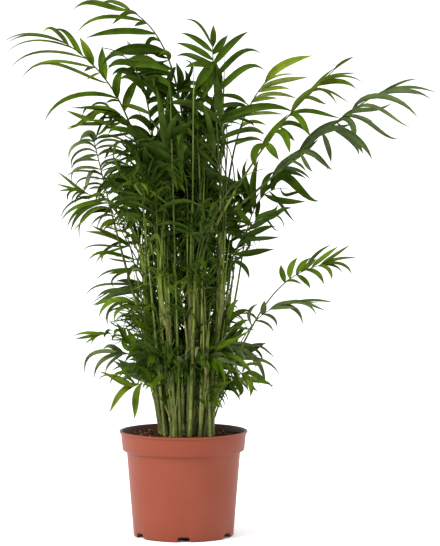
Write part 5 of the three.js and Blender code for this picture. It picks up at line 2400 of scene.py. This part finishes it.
def leaflet_faces(rings: int, side: int) -> list[np.ndarray]:
    """The faces of a leaflet of rings of four points and a tip.

    Args:
        rings: how many rings it has.
        side: -1 or 1, the side of the rachis that it is on, which turns its faces round.

    Returns:
        The quads of its upper side, those of its underside, the upper and lower faces of its
        tip, and the end at its root.
    """
    k = np.arange(rings - 1)[:, None] * 4
    upper = [k + [0, 1, 5, 4], k + [1, 2, 6, 5]]
    under = [k + [2, 3, 7, 6], k + [3, 0, 4, 7]]
    last, tip = (rings - 1) * 4, rings * 4
    blocks = [
        np.concatenate(upper),
        np.concatenate(under),
        np.array([[last, last + 1, tip], [last + 1, last + 2, tip]]),
        np.array([[last + 2, last + 3, tip], [last + 3, last, tip]]),
        np.array([[3, 2, 1, 0]]),
    ]
    return [block if side > 0 else block[:, ::-1] for block in blocks]


@dataclass(frozen=True)
class RibLook:
    """The petioles and rachises, the leaf bases that clasp the canes, and the spears."""

    sides: int = 6
    steps: int = 30
    slimness: tuple[float, float] = (1.0, 0.7)
    pale_share: float = 0.6
    sheath_length: float = 38.0
    sheath_sides: int = 10
    sheath_foot: float = 1.0
    sheath_steps: tuple[float, float] = (0.4, 0.8)
    sheath_rise: float = 4.0
    sheath_turn: float = 0.45
    sheath_on_rib: tuple[float, float] = (0.03, 0.07)
    sheath_thickness: float = 0.35
    sheath_swell: float = 0.8
    sheath_bulge: tuple[float, float, float] = (0.6, 1.0, 0.7)
    sheath_on_rib_swells: tuple[float, float] = (1.3, 0.9)
    spear_rings: int = 9
    spear_sides: int = 10
    spear_overlap: float = 6.0
    spear_swell: float = 0.3
    spear_tip: float = 0.35
    spear_taper: float = 0.8
    pleat: float = 0.7

    def add_rib(self, rachis: Rachis, parts: MeshParts) -> None:
        """Adds a frond's petiole, then its rachis, as one tube with two skins.

        Args:
            rachis: where they run.
            parts: what they are added to.
        """
        shares = np.linspace(0, 1, self.steps + 1)
        _, aside, upper = rachis.faces(shares)
        radii = rachis.radius(shares) * lerp(*self.slimness, shares)
        points = tube_points(rachis.at(shares), radii, self.sides, aside, upper)
        wall, ends = tube_faces(len(shares), self.sides)
        bare = int(self.steps * rachis.row.bare * self.pale_share) * self.sides
        parts.add(points, [wall[:bare], wall[bare:], ends], [0, 1, 1])

    def add_sheath(self, rachis: Rachis, cane: Cane, parts: MeshParts) -> None:
        """Adds the leaf base: a sleeve on the cane that narrows into the petiole.

        Args:
            rachis: the frond's rachis.
            cane: the cane it leaves.
            parts: what it is added to.
        """
        node, foot = rachis.row.node, rachis.radii[0]
        low = max(node - self.sheath_length, cane.foot + self.sheath_foot)
        heights = [low] + [lerp(low, node, share) for share in self.sheath_steps]
        above, start = cane.centre(node + self.sheath_rise), rachis.at(np.array(0.0))
        leaving = lerp(above, start, self.sheath_turn)
        on_rib = rachis.at(np.array(self.sheath_on_rib))
        spine = np.array([*(cane.centre(z) for z in heights), leaving, *on_rib])
        around = [cane.radius(node) + share * self.sheath_swell for share in self.sheath_bulge]
        narrowing = [foot * swell for swell in self.sheath_on_rib_swells]
        radii = np.array([cane.radius(low) + self.sheath_thickness, *around, *narrowing])
        points = tube_points(spine, radii, self.sheath_sides)
        parts.add(points, tube_faces(len(spine), self.sheath_sides), [0, 0])

    def add_spear(self, cane: Cane, parts: MeshParts) -> None:
        """Adds the folded young leaf at a cane's top: a slim pleated cone.

        Args:
            cane: the cane.
            parts: what it is added to.
        """
        shares = np.linspace(0, 1, self.spear_rings)
        overlap, sides = self.spear_overlap, self.spear_sides
        heights = cane.top - overlap + shares * (cane.spear_length + overlap)
        spine = np.array([cane.centre(z) for z in heights])
        radii = lerp(cane.top_radius + self.spear_swell, self.spear_tip, shares**self.spear_taper)
        rings = tube_points(spine, radii, sides) - spine[:, None]
        pleats = np.where(np.arange(sides) % 2 == 0, 1.0, self.pleat)[None, :, None]
        parts.add(spine[:, None] + rings * pleats, tube_faces(self.spear_rings, sides), [0, 0])


class Plant:
    """The whole plant: its canes, ribs, leaf bases and leaflets."""

    SHOOTS = 26
    TALL_SHOOTS = (
        (45, -46, -0.0009, 690),
        (26, -42, 0.0004, 520),
        (7.5, -44, 0.0013, 820),
        (50, -22, 0.0006, 835),
        (-22, -44, 0.0016, 480),
        (-11, -46, 0.0025, 760),
        (-39, -34, 0.0023, 690),
    )
    CANE_SKINS = (
        CaneSkin("cane_skin_pale", (0.104, 0.138, 0.018), (0.300, 0.350, 0.092)),
        CaneSkin("cane_skin_olive", (0.036, 0.055, 0.007), (0.112, 0.152, 0.028)),
        CaneSkin("cane_skin_green", (0.070, 0.105, 0.014), (0.210, 0.245, 0.066)),
    )
    SPEAR_SKIN = GreenSkin("spear_skin", (0.07, 0.12, 0.012), (0.12, 0.18, 0.025))
    RIB_SKINS = (
        GreenSkin("petiole_skin", (0.060, 0.085, 0.008), (0.150, 0.182, 0.032)),
        GreenSkin("rachis_skin", (0.026, 0.040, 0.005), (0.060, 0.082, 0.014)),
        GreenSkin("leaf_base_skin", (0.045, 0.055, 0.012), (0.14, 0.14, 0.045)),
    )
    LEAFAGES = (
        Leafage(
            Tone.DEEP,
            ((0.015, 0.032, 0.001), (0.025, 0.049, 0.002), (0.032, 0.060, 0.003)),
            (0.026, 0.047, 0.005),
        ),
        Leafage(
            Tone.FRESH,
            ((0.030, 0.060, 0.002), (0.047, 0.086, 0.003), (0.078, 0.122, 0.007)),
            (0.050, 0.080, 0.007),
        ),
        # The silvery tone: greyer greens that are partly painted sheen, beside its real stronger shine.
        Leafage(
            Tone.SILVERY,
            ((0.030, 0.053, 0.006), (0.046, 0.076, 0.010), (0.072, 0.108, 0.022)),
            (0.078, 0.110, 0.034),
            0.25,
        ),
        Leafage(
            Tone.YOUNG,
            ((0.080, 0.130, 0.006), (0.130, 0.185, 0.012)),
            (0.140, 0.185, 0.035),
        ),
    )

    def __init__(self) -> None:
        """Grows the canes and rachises by the rule of the plant's solids."""
        random = SeededRandom(SEED)
        clump = Clump()
        self.canes = [clump.cane(i, random) for i in range(clump.canes)]
        rows = [*OUTLINE_FRONDS, *FillRule().rows(self.canes, random)]
        limbs: list[Limb] = [cane.limb() for cane in self.canes]
        rule = RachisRule()
        self.rachises: list[Rachis] = []
        for row in rows:
            rachis = rule.clear_rachis(row, self.canes, limbs)
            self.rachises.append(rachis)
            limbs.append(rachis)
        self.nodes = len(rows)
        scatter = np.random.default_rng(SEED)
        stems = dict(enumerate(self.canes, 1))
        shoots = [clump.shoot(i, self.SHOOTS, scatter) for i in range(self.SHOOTS)]
        self.shoots = dict(enumerate(shoots, clump.canes + 1))
        self.stems = {**stems, **self.shoots}
        near = {n: stem for n, stem in stems.items() if stem.away[1] < 0}
        left = {n: stem for n, stem in stems.items() if stem.away[0] < 0}
        right = {n: stem for n, stem in stems.items() if stem.away[0] > 0}
        for inner_rule, carriers in (
            (LOW_LEAVES, stems),
            (TOP_LEAVES, stems),
            (SHOOT_LEAVES, self.shoots),
            (FOOT_LEAVES, self.stems),
            (FRONT_LEAVES, near),
            (SCREEN_LEAVES, near),
            (LEFT_LEAVES, left),
            (RIGHT_LEAVES, right),
        ):
            for row in inner_rule.rows(carriers, scatter):
                self.rachises.append(rule.rachis(row, self.stems[row.cane], 0, 0))
        tall = [clump.tall_shoot(*shape) for shape in self.TALL_SHOOTS]
        self.shoots.update(enumerate(tall, len(self.stems) + 1))
        self.stems.update(self.shoots)

    def build_canes(self) -> None:
        """The canes, and the spears at their tops."""
        look, ribs = CaneLook(), RibLook()
        skins = [skin.material() for skin in self.CANE_SKINS]
        for i, cane in enumerate(self.canes):
            look.build(i + 1, cane, skins[i % len(skins)])
        young, spikes = MeshParts(), MeshParts()
        for number, shoot in self.shoots.items():
            look.add(shoot, SEED + number, young, number % len(skins))
        shoots = young.piece()
        finish(shoots, "young_shoots", skins, 60)
        for stem in self.stems.values():
            ribs.add_spear(stem, spikes)
        finish(spikes.piece(), "spears", [self.SPEAR_SKIN.material()], 30)

    def build_ribs(self) -> None:
        """The petioles and rachises, and the leaf bases."""
        look, ribs, bases = RibLook(), MeshParts(), MeshParts()
        for rachis in self.rachises:
            look.add_rib(rachis, ribs)
            look.add_sheath(rachis, self.stems[rachis.row.cane], bases)
        skins = [skin.material() for skin in self.RIB_SKINS]
        ribs_piece, bases_piece = ribs.piece(), bases.piece()
        finish(ribs_piece, "frond_ribs", skins[:2], 70)
        finish(bases_piece, "leaf_bases", skins[2:], 70)

    def build_leaflets(self) -> None:
        """The leaflets, one piece for each tone of frond, which stands for those nodes."""
        rule = LeafletRule()
        for leafage in self.LEAFAGES:
            parts, nodes, uppers = MeshParts(), [], len(leafage.uppers)
            for i, rachis in enumerate(self.rachises):
                if rachis.row.tone is leafage.tone:
                    leafing = Leafing(rachis, parts, uppers, np.random.default_rng(SEED + i))
                    rule.add_frond(leafing, [Blade(*row) for row in POSED_LEAFLETS.get(i + 1, ())])
                    if i < self.nodes:
                        nodes.append(f"frond_{i + 1:02d}")
                if leafage.tone is Tone.DEEP and i + 1 in SHADED_LEAFLETS:
                    leafing = Leafing(rachis, parts, uppers, np.random.default_rng(SEED - i))
                    rule.add_frond(leafing, [Blade(*row) for row in SHADED_LEAFLETS[i + 1]])
            piece = parts.piece()
            finish(piece, f"leaflets_{leafage.tone.value}", leafage.materials(), 30)
            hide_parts(*nodes)

    def build(self) -> None:
        """All of the plant."""
        self.build_canes()
        self.build_ribs()
        self.build_leaflets()


# ---- The studio ------------------------------------------------------------------------------


def aimed(name: str, data: bpy.types.ID, place: Place, target: Place) -> bpy.types.Object:
    """Puts a light or camera in the scene, turned towards a point.

    Args:
        name: its name.
        data: the light or camera.
        place: where it stands.
        target: the point.

    Returns:
        Its object.
    """
    body = bpy.data.objects.new(name, data)
    body.location = place
    body.rotation_euler = (Vector(target) - Vector(place)).to_track_quat("-Z", "Y").to_euler()
    bpy.context.scene.collection.objects.link(body)
    return body


@dataclass(frozen=True)
class Softbox:
    """A square of soft light, aimed at a point."""

    name: str
    place: Place
    size: float
    power: float
    target: Place = (0.05, 0.0, 0.5)

    def build(self) -> None:
        """Adds the light."""
        light = bpy.data.lights.new(self.name, "AREA")
        light.shape = "SQUARE"
        light.size = self.size
        light.energy = self.power
        aimed(self.name, light, self.place, self.target)


@dataclass(frozen=True)
class Studio:
    """A pale floor, soft light all round, and the camera."""

    camera_place: Place = (0.0, -4.7348, 0.7637)
    camera_target: Place = (0.0683, 0.0, 0.4916)
    lens: float = 167.54
    sensor: float = 36.0
    view_depth: float = 100.0
    sky: float = 1.4
    floor_size: float = 14.0
    floor_gap: float = 0.0002
    floor_white: Colour = (0.97, 0.97, 0.97)
    softboxes: tuple[Softbox, ...] = (
        Softbox("key_left", (-2.8, -2.4, 2.8), 1.4, 190),
        Softbox("side_right", (2.6, -1.2, 1.5), 1.2, 5),
    )

    def build_camera(self) -> None:
        """The camera, looking a little down."""
        camera = bpy.data.cameras.new("camera")
        camera.sensor_fit = "VERTICAL"
        camera.sensor_height = self.sensor
        camera.lens = self.lens
        camera.clip_end = self.view_depth
        body = aimed("camera", camera, self.camera_place, self.camera_target)
        bpy.context.scene.camera = body

    def build_floor(self) -> None:
        """A wide white floor just under the pot's pads."""
        deselect_all()
        bpy.ops.mesh.primitive_plane_add(size=self.floor_size, location=(0, 0, -self.floor_gap))
        floor = bpy.context.object
        bpy.ops.object.transform_apply(location=True, rotation=False, scale=False)
        floor.name = "floor"
        white = Paint("white_floor").dress(base_color=self.floor_white, roughness=0.9)
        floor.data.materials.append(white)

    def build(self) -> None:
        """All of the studio."""
        self.build_camera()
        self.build_floor()
        for softbox in self.softboxes:
            softbox.build()
        world = bpy.data.worlds.new("soft_sky")
        world.use_nodes = True
        background = world.node_tree.nodes["Background"]
        background.inputs["Color"].default_value = (1, 1, 1, 1)
        background.inputs["Strength"].default_value = self.sky
        bpy.context.scene.world = world
        bpy.context.scene.view_settings.view_transform = "Standard"


def main() -> None:
    """Builds the studio, the pot, its soil and the plant."""
    logging.basicConfig(level=logging.INFO, format="%(message)s")
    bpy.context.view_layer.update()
    Studio().build()
    Pot().build()
    Soil().build()
    Plant().build()


if __name__ == "__main__":
    main()
